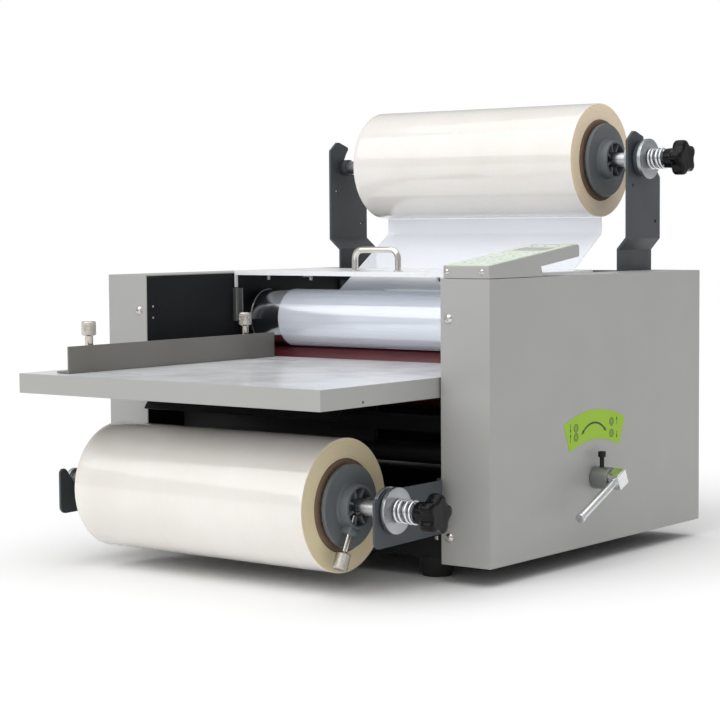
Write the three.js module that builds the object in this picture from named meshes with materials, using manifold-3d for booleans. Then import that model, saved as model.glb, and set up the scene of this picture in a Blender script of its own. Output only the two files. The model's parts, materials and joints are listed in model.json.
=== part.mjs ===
// Desktop roll laminator: a motor-driven pair of pressure rollers between two sheet-steel housings,
// a feed table with a side guide, and two film supply mandrels. Millimetres, +Z up, +X across the
// machine towards the drive side, +Y towards the exit. Inside the machine group Z = 0 is the lower
// edge of the housings and Y = 0 is their front face.
import * as THREE from 'three';
import { mergeVertices } from 'three/addons/utils/BufferGeometryUtils.js';
import Module from 'manifold-3d';

const wasm = await Module();
wasm.setup();

// ---------- driving dimensions ----------
const GAP = 0.3;                 // clearance between pieces that touch
const RUN = 0.8;                 // radial clearance of turning fits
const FINE = 44;                 // sides of a large round
const ROUND = 20;                // sides of a small round
const HOUSING_W = 59.7;
const HOUSING_D = 433;
const HOUSING_H = 290;
const INNER_X = 204.3;           // half the distance between the housings
const OUTER_X = INNER_X + HOUSING_W;
const SHEET = 1.5;
const PLATE = 4;
const FOOT_H = 19.5;
const TABLE_TOP = 190.3;
const TABLE_FRONT = -191;
const TABLE_REAR = 170;
const TABLE_X = 202;
const TABLE_WIDE = 208.6;        // the front of the table passes the left housing on this side
const SKIRT = 20.8;
const ROLL_Y = 200;              // rollers and pressure shaft share this plane
const ROLL_Z = 235.5;
const ROLL_R = 33;
const NIP = 2 * ROLL_R;          // distance between the roller axes
const ROLL_X = 192;
const LOWER_Z = ROLL_Z - NIP;
const AXLE_R = 9;
const SLEEVE_T = 4.4;
const CAM_Z = 72.5;
const CAM_HIGH = 20;
const CAM_DROP = 8;
const FENCE_X = -154;
const FENCE_FRONT = -171;
const FENCE_REAR = 164;
const FENCE_H = 28.5;
const GUIDE_SCREW_X = -163.5;
const GUIDE_SCREW_Y = [-131.5, 122];
const COVER_FRONT = 150;
const COVER_REAR = 296;
const COVER_TOP = 292;
const COVER_AXIS_Y = 290;
const COVER_AXIS_Z = 286.2;
const BRACKET_T = 3;
const BRACKET_IN = 202.6;        // middle of a mandrel bracket beside the frame plate
const BRACKET_OUT = 214;         // middle of its jogged arm on the drive side
const BRACKET_OUT_LEFT = 218;
const CORE_R = 46.9;
const CORE_BORE = 38.5;
const SPINDLE_R = 8;
const LOWER_REEL = { y: -96.4, z: 67, radius: 67.5, x0: -156, x1: 155, clampX: 15, clampTurn: -25,
  disc: 217, knob: 246 };
const UPPER_REEL = { y: 380, z: 418, radius: 66, x0: -151, x1: 163, clampX: 15, clampTurn: 75,
  disc: 224, knob: 250 };
const WEB_BEND = { y: 378.5, z: 336, r: 5 };   // where the slack upper web turns towards the rollers
const REAR_IDLER = { y: 262, z: 258, r: 5 };
const LOWER_IDLER = { y: 60, z: 104, r: 11 };
const FILM_T = 0.6;
const GEAR_MODULE = 3;
const ROLL_TEETH = 22;
const PINION_TEETH = 14;
const GEAR_X = [210.5, 221];
const ORIGIN_X = 18;             // centre of the overall box, seen from the machine's own axes
const ORIGIN_Y = 129.1;

// ---------- shapes ----------
const X_ALONG = new THREE.Matrix4().set(0, 0, 1, 0, 1, 0, 0, 0, 0, 1, 0, 0, 0, 0, 0, 1);
const Y_ALONG = new THREE.Matrix4().set(1, 0, 0, 0, 0, 0, -1, 0, 0, 1, 0, 0, 0, 0, 0, 1);

function toSolid(geometry) {
  const plain = geometry.clone();
  plain.deleteAttribute('normal');
  plain.deleteAttribute('uv');
  const merged = mergeVertices(plain, 1e-4);
  const index = merged.index.array;
  const triangles = [];
  for (let i = 0; i < index.length; i += 3) {
    const [a, b, c] = index.slice(i, i + 3);
    if (a !== b && b !== c && c !== a) triangles.push(a, b, c);
  }
  return new wasm.Manifold(new wasm.Mesh({
    numProp: 3,
    vertProperties: new Float32Array(merged.attributes.position.array),
    triVerts: new Uint32Array(triangles),
  }));
}

function toGeometry(solid) {
  const mesh = solid.getMesh();
  const geometry = new THREE.BufferGeometry();
  geometry.setAttribute('position', new THREE.BufferAttribute(mesh.vertProperties, 3));
  geometry.setIndex(new THREE.BufferAttribute(mesh.triVerts, 1));
  geometry.computeVertexNormals();
  return geometry;
}

function extruded(points, depth, matrix) {
  const shape = new THREE.Shape(points.map(([u, v]) => new THREE.Vector2(u, v)));
  const geometry = new THREE.ExtrudeGeometry(shape, { depth, bevelEnabled: false });
  return toSolid(geometry.applyMatrix4(matrix));
}

// outline in (Y, Z), from x0 to x1
function alongX(points, x0, x1) {
  return extruded(points, x1 - x0, X_ALONG.clone().setPosition(x0, 0, 0));
}

// outline in (X, Z), from y0 to y1
function alongY(points, y0, y1) {
  return extruded(points, y1 - y0, Y_ALONG.clone().setPosition(0, y1, 0));
}

// outline in (X, Y), from z0 to z1
function alongZ(points, z0, z1) {
  return extruded(points, z1 - z0, new THREE.Matrix4().makeTranslation(0, 0, z0));
}

function block([x0, x1], [y0, y1], [z0, z1]) {
  const geometry = new THREE.BoxGeometry(x1 - x0, y1 - y0, z1 - z0);
  return toSolid(geometry.translate((x0 + x1) / 2, (y0 + y1) / 2, (z0 + z1) / 2));
}

// profile of [distance along the axis, radius] turned about its axis, which starts along +Z
function turned(profile, sides = ROUND) {
  const points = profile.map(([along, radius]) => new THREE.Vector2(radius, along));
  return toSolid(new THREE.LatheGeometry(points, sides).rotateX(Math.PI / 2));
}

function turnedX(profile, y, z, sides = ROUND) {
  return turned(profile, sides).rotate([0, 90, 0]).translate([0, y, z]);
}

function turnedZ(profile, x, y, sides = ROUND) {
  return turned(profile, sides).translate([x, y, 0]);
}

function rod(radius, from, to) {
  return [[from, 0], [from, radius], [to, radius], [to, 0]];
}

function ring(inner, outer, from, to) {
  return [[from, inner], [from, outer], [to, outer], [to, inner], [from, inner]];
}

function arc(cy, cz, radius, fromDeg, toDeg, steps) {
  return Array.from({ length: steps + 1 }, (_, i) => {
    const angle = THREE.MathUtils.degToRad(fromDeg + (toDeg - fromDeg) * i / steps);
    return [cy + radius * Math.cos(angle), cz + radius * Math.sin(angle)];
  });
}

function union(...solids) {
  return solids.reduce((whole, piece) => whole.add(piece));
}

function mirrored(solid) {
  return solid.mirror([1, 0, 0]);
}

// ---------- materials ----------
function finish(color, roughness, metalness) {
  return new THREE.MeshStandardMaterial({ color, roughness, metalness });
}

const paint = finish(0xb9bab6, 0.5, 0.1);
const blackPaint = finish(0x101113, 0.5, 0.1);
const slatePaint = finish(0x4b4f54, 0.55, 0.1);
const coverPaint = finish(0xe4e6e8, 0.4, 0.1);
const guidePaint = finish(0x77756f, 0.5, 0.2);
const steel = finish(0xc4c6c8, 0.3, 0.9);
const chrome = finish(0xdde2e8, 0.12, 1);
const silicone = finish(0x5a1216, 0.5, 0);
const blackPlastic = finish(0x0c0c0d, 0.25, 0);
const greyPlastic = finish(0x5d6468, 0.45, 0);
const rubber = finish(0x0b0b0b, 0.8, 0);
const film = finish(0xece8e4, 0.2, 0);
const card = finish(0x9a7a5e, 0.9, 0);

const machine = new THREE.Group();
machine.position.set(-ORIGIN_X, -ORIGIN_Y, FOOT_H);

function add(name, solid, material) {
  const mesh = new THREE.Mesh(toGeometry(solid), material);
  mesh.name = name;
  machine.add(mesh);
}

// adds a piece and its mirror image, the right-hand one built first
function addPair(name, solid, material) {
  add(`${name}_right`, solid, material);
  add(`${name}_left`, mirrored(solid), material);
}

// ---------- housings and frame ----------
function housing() {
  const shell = block([INNER_X, OUTER_X], [0, HOUSING_D], [0, HOUSING_H]);
  const inside = block([INNER_X - 1, OUTER_X - SHEET], [SHEET, HOUSING_D - SHEET], [-1, HOUSING_H - SHEET]);
  return shell.subtract(inside);
}

const INLET = { x: 234, z: 62, w: 27, h: 20 };
const SWITCH = { x: 234, z: 89.5, w: 13, h: 19.5 };

function wallHole({ x, z, w, h }, margin) {
  return block([x - w / 2 - margin, x + w / 2 + margin], [HOUSING_D - 5, HOUSING_D + 1],
    [z - h / 2 - margin, z + h / 2 + margin]);
}

function rightHousing() {
  const shaftHole = turnedX(rod(9.5, OUTER_X - 5, OUTER_X + 5), ROLL_Y, CAM_Z);
  return housing().subtract(union(shaftHole, wallHole(INLET, GAP), wallHole(SWITCH, GAP)));
}

const BEARING_HUB = 13;
const PRESSURE_R = 7.5;

function framePlate() {
  const front = SHEET + GAP;
  const plate = block([INNER_X + GAP, INNER_X + GAP + PLATE], [front, HOUSING_D - front],
    [1, HOUSING_H - SHEET - GAP]);
  const bearing = turnedX(rod(BEARING_HUB + GAP, 200, 212), ROLL_Y, ROLL_Z);
  const reach = AXLE_R + RUN;
  const slot = alongX([
    ...arc(ROLL_Y, LOWER_Z, reach, 0, 180, 12),
    ...arc(ROLL_Y, LOWER_Z - CAM_DROP, reach, 180, 360, 12),
  ], 200, 212);
  const shaftHole = turnedX(rod(PRESSURE_R + RUN, 200, 212), ROLL_Y, CAM_Z);
  return plate.subtract(union(bearing, slot, shaftHole));
}

function baseTray() {
  const half = INNER_X - GAP;
  return union(
    block([-half, half], [16, HOUSING_D - 2], [2, 4]),
    block([-half, half], [16, 18], [2, 33]),
    block([-half, half], [HOUSING_D - 20, HOUSING_D - 18], [2, 14]),
  );
}

function foot(x, y) {
  return turnedZ([[-FOOT_H, 0], [-FOOT_H, 15.3], [2 - GAP, 19.5], [2 - GAP, 0]], x, y);
}

// rear wall, side webs and top strip; the exit opening is between them
function rearPanel() {
  const half = INNER_X - GAP;
  const outer = HOUSING_D - 2;
  const web = block([half - 14, half], [outer - 2, outer], [100, 289]);
  return union(
    block([-half, half], [outer - 2, outer], [4 + GAP, 184]),
    web,
    mirrored(web),
    block([-half, half], [outer - 2, outer], [262, 289]),
    block([-half + 6, half - 6], [338, outer], [287, 289]),
    block([-half + 6, half - 6], [338, 340], [276, 289]),
  );
}

// curved sheet above the lower reel, held to the drive-side plate by a strap
function filmGuard() {
  const centreY = 4;
  const centreZ = 124;
  const sheet = alongX([
    ...arc(centreY, centreZ, 36, -15, 150, 18),
    ...arc(centreY, centreZ, 34.5, 150, -15, 18),
  ], -184, 90);
  const strap = alongX([
    ...arc(centreY, centreZ, 36, 8, 42, 6),
    ...arc(centreY, centreZ, 34.5, 42, 8, 6),
  ], 80, INNER_X - GAP);
  return sheet.add(strap);
}

function tableRail() {
  const top = TABLE_TOP - SKIRT - GAP;
  const outer = INNER_X - GAP;
  return union(
    block([186, outer], [6, 160], [top - 2, top]),
    block([outer - 2, outer], [6, 160], [top - 20, top]),
  );
}

// ---------- mandrel brackets ----------
function lowerBracket(arm) {
  const half = BRACKET_T / 2;
  const { y, z } = LOWER_REEL;
  const side = alongX([
    [-116, 31.5], [0, 34], [45, 34], [45, 88], [-78, 87.5], [-84, 78],
    ...arc(y, z, SPINDLE_R + RUN, 20, -160, 14),
    [-116, 79], [-118.5, 80.8], [-123, 80.8], [-126, 77.5], [-126, 39.5],
    ...arc(-118, 39.5, 8, 180, 270, 6),
  ], 190, 230);
  const plan = alongZ([
    [arm - half, -130], [arm + half, -130], [arm + half, -14],
    [BRACKET_IN + half, -2], [BRACKET_IN + half, 62], [BRACKET_IN - half, 62],
    [BRACKET_IN - half, -3.5], [arm - half, -15.5],
  ], 20, 100);
  return side.intersect(plan);
}

function upperBracket(arm) {
  const half = BRACKET_T / 2;
  const { y, z } = UPPER_REEL;
  const front = 352;
  const rear = 426;
  const side = alongX([
    [front, 236], [rear, 236], [rear, 398], [rear - 6, 404], [y + 14, 411],
    ...arc(y, z, SPINDLE_R + RUN, -50, -262, 16),
    [384, 436], [388, 441], [387, 444], [370, 449.6], [365, 449.6], [front, 439],
  ], 190, 230);
  const profile = alongY([
    [BRACKET_IN - half, 230], [BRACKET_IN + half, 230], [BRACKET_IN + half, 314],
    [arm + half, 327], [arm + half, 460], [arm - half, 460],
    [arm - half, 328.5], [BRACKET_IN - half, 315.5],
  ], 340, 440);
  const lowHole = turnedX(rod(2.2, 205, 225), 415, 347, 14);
  const highHole = turnedX(rod(2.2, 205, 225), 364, 388, 14);
  return side.intersect(profile).subtract(union(lowHole, highHole));
}

// ---------- rollers and their drive ----------
function bearing() {
  return turnedX([
    [197.5, AXLE_R + 0.5], [197.5, 22], [INNER_X, 22], [INNER_X, BEARING_HUB],
    [209.5, BEARING_HUB], [209.5, AXLE_R + 0.5], [197.5, AXLE_R + 0.5],
  ], ROLL_Y, ROLL_Z, 24);
}

const KEYWAY_END = 225;

function upperRoller() {
  return turnedX([
    [-212, 0], [-212, AXLE_R], [-ROLL_X, AXLE_R], [-ROLL_X, ROLL_R], [ROLL_X, ROLL_R],
    [ROLL_X, AXLE_R], [KEYWAY_END, AXLE_R], [KEYWAY_END, 0],
  ], ROLL_Y, ROLL_Z, FINE);
}

function lowerRollerShaft() {
  const core = ROLL_R - SLEEVE_T - GAP;
  return turnedX([
    [-212, 0], [-212, AXLE_R], [-ROLL_X, AXLE_R], [-ROLL_X, core], [ROLL_X, core],
    [ROLL_X, AXLE_R], [KEYWAY_END, AXLE_R], [KEYWAY_END, 0],
  ], ROLL_Y, LOWER_Z, FINE);
}

function lowerRollerSleeve() {
  return turnedX(ring(ROLL_R - SLEEVE_T, ROLL_R - GAP, -ROLL_X + 1, ROLL_X - 1), ROLL_Y, LOWER_Z, FINE);
}

function gearOutline(teeth, y, z, toothAt) {
  const pitch = GEAR_MODULE * teeth / 2;
  const corners = [[pitch - 3.2, 2.9], [pitch + 2.4, 1]];
  const points = [];
  for (let i = 0; i < teeth; i += 1) {
    const middle = toothAt + i * 2 * Math.PI / teeth;
    const flank = (side) => ([radius, halfWidth]) => {
      const angle = middle + side * halfWidth / radius;
      return [y + radius * Math.cos(angle), z + radius * Math.sin(angle)];
    };
    points.push(...corners.map(flank(-1)), ...corners.slice().reverse().map(flank(1)));
  }
  return points;
}

function gear(teeth, y, z, toothAt, bore) {
  const body = alongX(gearOutline(teeth, y, z, toothAt), GEAR_X[0], GEAR_X[1]);
  return body.subtract(turnedX(rod(bore, 200, 240), y, z));
}

const PINION_Y = ROLL_Y + GEAR_MODULE * (ROLL_TEETH + PINION_TEETH) / 2;
const MOTOR_FLANGE = 224;

function driveMotor() {
  const posts = [[PINION_Y - 10, -34], [PINION_Y - 10, 34], [PINION_Y + 26, -34], [PINION_Y + 26, 34]];
  const flange = block([MOTOR_FLANGE, MOTOR_FLANGE + 4], [PINION_Y - 16, PINION_Y + 32],
    [ROLL_Z - 40, ROLL_Z + 40]);
  const gearcase = turnedX([
    [MOTOR_FLANGE, 0], [MOTOR_FLANGE, 26], [246, 26], [246, 21], [260, 21], [260, 0],
  ], PINION_Y + 11, ROLL_Z, 20);
  const stands = posts.map(([y, dz]) =>
    turnedX(rod(3.5, INNER_X + PLATE + 2 * GAP, MOTOR_FLANGE + 1), y, ROLL_Z + dz, 12));
  const shaftHole = turnedX(rod(5.8, 215, 240), PINION_Y, ROLL_Z);
  return union(flange, gearcase, ...stands).subtract(shaftHole);
}

function motorPinion() {
  const wheel = alongX(gearOutline(PINION_TEETH, PINION_Y, ROLL_Z, Math.PI), GEAR_X[0], GEAR_X[1]);
  return wheel.add(turnedX(rod(5, GEAR_X[0] + 1, 238), PINION_Y, ROLL_Z));
}

// bearing block of the lower roller with a stem that stands on the cam
function carriage() {
  const nose = 3;
  const camTop = CAM_Z + CAM_HIGH + 0.5;
  const outline = [
    ...arc(ROLL_Y, camTop + nose, nose, 180, 360, 8),
    [208, 110], [208, 148], [218, 152], [218, LOWER_Z + 17], [182, LOWER_Z + 17],
    [182, 152], [192, 148], [192, 110],
  ];
  const body = alongX(outline, 194.5, 203.6);
  return body.subtract(turnedX(rod(AXLE_R + 0.5, 190, 208), ROLL_Y, LOWER_Z, 24));
}

// spiral cam: falls by CAM_DROP over the quarter turn from its top towards the front
function camOutline() {
  const radiusAt = (deg) => {
    if (deg <= 90) return CAM_HIGH - CAM_DROP * deg / 90;
    if (deg <= 300) return CAM_HIGH - CAM_DROP;
    return CAM_HIGH - CAM_DROP * Math.max(0, (345 - deg) / 45);
  };
  return Array.from({ length: 48 }, (_, i) => {
    const deg = i * 7.5;
    const angle = THREE.MathUtils.degToRad(90 + deg);
    return [ROLL_Y + radiusAt(deg) * Math.cos(angle), CAM_Z + radiusAt(deg) * Math.sin(angle)];
  });
}

function pressureShaft() {
  const shaft = turnedX(rod(PRESSURE_R, -210, 281), ROLL_Y, CAM_Z);
  const cam = alongX(camOutline(), 195.5, 202.5);
  return union(shaft, cam, mirrored(cam));
}

const BOSS = [OUTER_X + 0.6, 285];
const LEVER_X = 292;
const LEVER_TURN = 24;           // degrees below the horizontal
const LEVER_REACH = 83;

function leverTurned(profile, sides) {
  return turned(profile, sides).rotate([90 + LEVER_TURN, 0, 0]).translate([LEVER_X, ROLL_Y, CAM_Z]);
}

function pressureLever() {
  const boss = turnedX([
    [BOSS[0], 0], [BOSS[0], 11], [BOSS[0] + 1, 12], [BOSS[1], 12], [BOSS[1] + 1, 9], [299, 9], [300, 8],
    [300, 0],
  ], ROLL_Y, CAM_Z, 24);
  const arm = leverTurned([[0, 0], [0, 4.5], [LEVER_REACH - 2, 4.5], [LEVER_REACH, 3], [LEVER_REACH, 0]]);
  const bore = turnedX(rod(PRESSURE_R + GAP, 255, 281.4), ROLL_Y, CAM_Z);
  const lockScrew = turnedZ([[82, 0], [82, 2.5], [95, 2.5], [95, 4.25], [101, 4.25], [101, 0]], 273, ROLL_Y, 14);
  return union(boss, arm, lockScrew).subtract(bore);
}

// ---------- cover, table and guide ----------
function topCover() {
  const half = INNER_X - 0.8;
  const sheet = 2;
  const under = COVER_TOP - sheet;
  const ear = (x) => alongX([
    [COVER_AXIS_Y - 12, under + 0.5], [COVER_AXIS_Y - 12, 281], [COVER_AXIS_Y - 3, 281],
    ...arc(COVER_AXIS_Y, COVER_AXIS_Z, 5, -90, 30, 5), [COVER_AXIS_Y + 5, under + 0.5],
  ], x, x + sheet);
  const whole = union(
    block([-half, half], [COVER_FRONT, COVER_REAR], [under, COVER_TOP]),
    block([-half, half], [COVER_FRONT, COVER_FRONT + sheet], [286.6, COVER_TOP]),
    block([-half, -half + sheet], [COVER_FRONT, COVER_AXIS_Y - 11], [286.6, COVER_TOP]),
    block([half - sheet, half], [COVER_FRONT, COVER_AXIS_Y - 11], [286.6, COVER_TOP]),
    block([-half, -half + sheet], [COVER_FRONT, COVER_FRONT + 4], [272, COVER_TOP]),
    block([half - sheet, half], [COVER_FRONT, COVER_FRONT + 4], [272, COVER_TOP]),
    ear(-half),
    ear(half - sheet),
  );
  return whole.subtract(turnedX(rod(3.1, -INNER_X, INNER_X), COVER_AXIS_Y, COVER_AXIS_Z, 20));
}

function hingeRod() {
  return turnedX(rod(2.5, -INNER_X + GAP, INNER_X - GAP), COVER_AXIS_Y, COVER_AXIS_Z, 16);
}

function coverHandle() {
  const foot0 = COVER_TOP + GAP;
  const top = 316.4;
  const leg = 30.6;
  const bend = 10;
  const y = 165;
  const at = (x, z) => new THREE.Vector3(x - 2.3, y, z);
  const path = new THREE.CurvePath();
  path.add(new THREE.LineCurve3(at(-leg, foot0), at(-leg, top - bend)));
  path.add(new THREE.QuadraticBezierCurve3(at(-leg, top - bend), at(-leg, top), at(-leg + bend, top)));
  path.add(new THREE.LineCurve3(at(-leg + bend, top), at(leg - bend, top)));
  path.add(new THREE.QuadraticBezierCurve3(at(leg - bend, top), at(leg, top), at(leg, top - bend)));
  path.add(new THREE.LineCurve3(at(leg, top - bend), at(leg, foot0)));
  const section = new THREE.Shape(arc(0, 0, 3.7, 0, 320, 8).map(([u, v]) => new THREE.Vector2(u, v)));
  const tube = new THREE.ExtrudeGeometry(section, { steps: 22, extrudePath: path, bevelEnabled: false });
  return toSolid(tube);
}

function feedTable() {
  const level = [TABLE_TOP - SKIRT, TABLE_TOP];
  const under = [TABLE_TOP - SKIRT - 1, TABLE_TOP - SHEET];
  const wideEnd = -2;
  const pan = block([-TABLE_X, TABLE_X], [TABLE_FRONT, TABLE_REAR], level)
    .add(block([-TABLE_WIDE, TABLE_X], [TABLE_FRONT, wideEnd], level));
  const front = TABLE_FRONT + SHEET;
  const inside = block([-TABLE_X + SHEET, TABLE_X - SHEET], [front, TABLE_REAR + 1], under)
    .add(block([-TABLE_WIDE + SHEET, TABLE_X - SHEET], [front, wideEnd - SHEET], under));
  const slots = GUIDE_SCREW_Y.map((y) => block([-190, -85], [y - 3, y + 3], [180, 200]));
  const hole = turnedX(rod(1.6, TABLE_X - 5, TABLE_X + 5), -125, 174, 12);
  return pan.subtract(union(inside, hole, ...slots));
}

function sideGuide() {
  const base = TABLE_TOP + GAP;
  const sheet = 2;
  const wall = block([FENCE_X - sheet, FENCE_X], [FENCE_FRONT, FENCE_REAR], [base, base + FENCE_H]);
  const flange = block([FENCE_X - 18, FENCE_X - sheet / 2], [FENCE_FRONT, FENCE_REAR], [base, base + sheet]);
  const holes = GUIDE_SCREW_Y.map((y) => turnedZ(rod(2.9, 180, 200), GUIDE_SCREW_X, y, 16));
  return wall.add(flange).subtract(union(...holes));
}

function guideScrew(y) {
  const seat = TABLE_TOP + GAP + 2 + GAP;
  return turnedZ([
    [178, 0], [178, 2.4], [seat, 2.4], [seat, 4.5], [228.5, 4.5], [229.5, 7.4], [230.5, 7.8],
    [243, 7.8], [244, 7.2], [244, 0],
  ], GUIDE_SCREW_X, y);
}

function panelBox() {
  const x = INNER_X + 0.4;
  const side = alongX([
    [0, HOUSING_H + GAP], [100, HOUSING_H + GAP], [95.7, 300.7], [169.7, 309.8], [169.7, 321],
    [166.7, 322.7], [0, 302.7],
  ], x, OUTER_X - 0.4);
  const corner = alongZ([[x - 1, -1], [x + 5, -1], [x - 1, 6]], 280, 330);
  return side.subtract(corner);
}

function inletSocket() {
  const { x, z, w, h } = INLET;
  const outer = HOUSING_D + GAP;
  const flange = block([x - 24, x + 24], [outer, outer + 2.5], [z - 14, z + 14]);
  const body = block([x - w / 2, x + w / 2], [outer - 22, outer + 1], [z - h / 2, z + h / 2]);
  const socket = block([x - w / 2 + 2, x + w / 2 - 2], [outer - 15, outer + 5], [z - h / 2 + 2, z + h / 2 - 2]);
  const pins = [[-6.5, -2], [0, 2], [6.5, -2]].map(([dx, dz]) =>
    block([x + dx - 1, x + dx + 1], [outer - 16, outer - 2], [z + dz - 2, z + dz + 2]));
  return union(flange, body).subtract(socket).add(union(...pins));
}

function switchWell() {
  const { x, z, w, h } = SWITCH;
  const outer = HOUSING_D + GAP;
  const flange = block([x - 10, x + 10], [outer, outer + 2], [z - 14, z + 14]);
  const body = block([x - w / 2, x + w / 2], [outer - 18, outer + 1], [z - h / 2, z + h / 2]);
  const well = block([x - w / 2 + 1.2, x + w / 2 - 1.2], [outer - 9, outer + 5], [z - h / 2 + 1, z + h / 2 - 1]);
  return union(flange, body).subtract(well);
}

function powerInlet() {
  return inletSocket().add(switchWell());
}

function switchRocker() {
  const { x, z } = SWITCH;
  const face = HOUSING_D + 2;
  return alongX([
    [face - 6, z - 5], [face - 1, z - 7.6], [face + 3.2, z - 7.2], [face + 0.6, z],
    [face + 0.2, z + 7.6], [face - 1.6, z + 7.6], [face - 6, z + 5],
  ], x - 4.6, x + 4.6);
}

// ---------- film web from the upper reel to the nip ----------
// circle: centre, radius, and side: +1 where the web turns left round it, -1 where it turns right
function tangent(a, b) {
  const dy = b.y - a.y;
  const dz = b.z - a.z;
  const lean = Math.asin((b.side * b.r - a.side * a.r) / Math.hypot(dy, dz));
  const heading = Math.atan2(dz, dy) - lean;
  return heading;
}

function touch(circle, heading) {
  const normal = heading + Math.PI / 2;
  return [circle.y - circle.side * circle.r * Math.cos(normal),
    circle.z - circle.side * circle.r * Math.sin(normal), heading];
}

function wrapped(circle, from, to, steps) {
  return Array.from({ length: steps + 1 }, (_, i) => touch(circle, from + (to - from) * i / steps));
}

function filmWeb() {
  const clear = GAP + 0.1 + FILM_T / 2;
  const first = { ...WEB_BEND, r: WEB_BEND.r + clear, side: -1 };
  const second = { ...REAR_IDLER, r: REAR_IDLER.r + clear, side: -1 };
  const roller = { y: ROLL_Y, z: ROLL_Z, r: ROLL_R + clear, side: 1 };
  const hang = first.y + first.r;
  const underReel = UPPER_REEL.z - Math.sqrt(UPPER_REEL.radius ** 2 - (hang - UPPER_REEL.y) ** 2);
  const down = tangent(first, second);
  const over = tangent(second, roller);
  const nip = THREE.MathUtils.degToRad(-15);
  const line = [
    [hang, underReel - GAP - 0.2, -Math.PI / 2],
    ...wrapped(first, -Math.PI / 2, down, 4),
    ...wrapped(second, down, over, 8),
    ...wrapped(roller, over, nip, 26),
  ];
  const edge = (offset) => ([y, z, heading]) =>
    [y - offset * Math.sin(heading), z + offset * Math.cos(heading)];
  const outline = [...line.map(edge(FILM_T / 2)), ...line.map(edge(-FILM_T / 2)).reverse()];
  return alongX(outline, UPPER_REEL.x0 + 1, UPPER_REEL.x1 - 1);
}

// ---------- film supply mandrels ----------
const DISC_R = 23;
const KNOB_HUB = 12;
const KNOB_LENGTH = 27.5;

function spindle({ y, z, disc, knob }) {
  return turnedX([
    [-227, 0], [-227, 12], [-222, 12], [-222, SPINDLE_R], [-215, SPINDLE_R], [-215, 10], [-208, 10],
    [-208, SPINDLE_R], [207, SPINDLE_R], [207, DISC_R], [211, DISC_R], [211, SPINDLE_R],
    [217, SPINDLE_R], [217, 20], [disc, 20], [disc, DISC_R], [disc + 4.5, DISC_R],
    [disc + 4.5, SPINDLE_R], [knob + 20, SPINDLE_R], [knob + 20, 0],
  ], y, z, 20);
}

function filmCore({ y, z, x0, x1 }) {
  return turnedX(ring(CORE_BORE, CORE_R, x0 - 1, x1 + 1), y, z, FINE);
}

function filmRoll({ y, z, x0, x1, radius }) {
  return turnedX(ring(CORE_R + GAP, radius, x0, x1), y, z, FINE);
}

// plug, flange and hub, from the end of the roll outwards
function chuck(end, y, z) {
  const bore = SPINDLE_R + GAP;
  return turnedX([
    [end - 18, bore], [end - 18, 37.5], [end + 4.3, 37.5], [end + 4.3, 42.3], [end + 9, 42.1],
    [end + 9, 23], [end + 21, 22], [end + 21, 19], [end + 10, 19], [end + 10, 12.5],
    [end + 13, 12.5], [end + 13, bore], [end - 18, bore],
  ], y, z, 28);
}

function clampBoss({ y, z, x1, clampX, clampTurn }) {
  const x = x1 + clampX;
  const boss = block([x - 6.5, x + 4.6], [-6, 6], [20, 29]);
  return boss.rotate([clampTurn + 180, 0, 0]).translate([0, y, z]);
}

function radial(profile, { y, z, x1, clampX, clampTurn }, sides) {
  return turned(profile, sides).translate([x1 + clampX, 0, 0])
    .rotate([clampTurn + 180, 0, 0]).translate([0, y, z]);
}

function clampScrew(reel) {
  return radial([
    [9.5, 0], [9.5, 3], [48.5, 3], [48.5, 7], [49.5, 7.8], [64, 7.8], [65, 7], [65, 0],
  ], reel, 24);
}

function chuckRight(reel) {
  const hole = radial(rod(3 + GAP, 6, 32), reel, 16);
  return chuck(reel.x1, reel.y, reel.z).add(clampBoss(reel)).subtract(hole);
}

function chuckLeft(reel) {
  return mirrored(chuck(-reel.x0, reel.y, reel.z));
}

function springEnvelope({ y, z, disc, knob }) {
  return turnedX(ring(SPINDLE_R + 1.6, 12.3, disc + 4.8, knob - GAP), y, z);
}

// five-lobed star knob with a blind bore
function tensionKnob({ y, z, knob }) {
  const star = Array.from({ length: 40 }, (_, i) => {
    const angle = i * 2 * Math.PI / 40;
    const radius = 17.4 + 3.1 * Math.cos(5 * angle);
    return [y + radius * Math.cos(angle), z + radius * Math.sin(angle)];
  });
  const head = alongX(star, knob + KNOB_HUB, knob + KNOB_LENGTH);
  const hub = turnedX([[knob, 0], [knob, 11], [knob + KNOB_HUB + 1, 12], [knob + KNOB_HUB + 1, 0]], y, z);
  return union(head, hub).subtract(turnedX(rod(SPINDLE_R + GAP, knob - 5, knob + 20.4), y, z));
}

function addReel(name, reel) {
  add(`${name}_spindle`, spindle(reel), chrome);
  add(`${name}_core`, filmCore(reel), card);
  add(`${name}_film_roll`, filmRoll(reel), film);
  add(`${name}_chuck_right`, chuckRight(reel), greyPlastic);
  add(`${name}_chuck_left`, chuckLeft(reel), greyPlastic);
  add(`${name}_clamp_screw`, clampScrew(reel), steel);
  add(`${name}_spring`, springEnvelope(reel), steel);
  add(`${name}_tension_knob`, tensionKnob(reel), blackPlastic);
}

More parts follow.
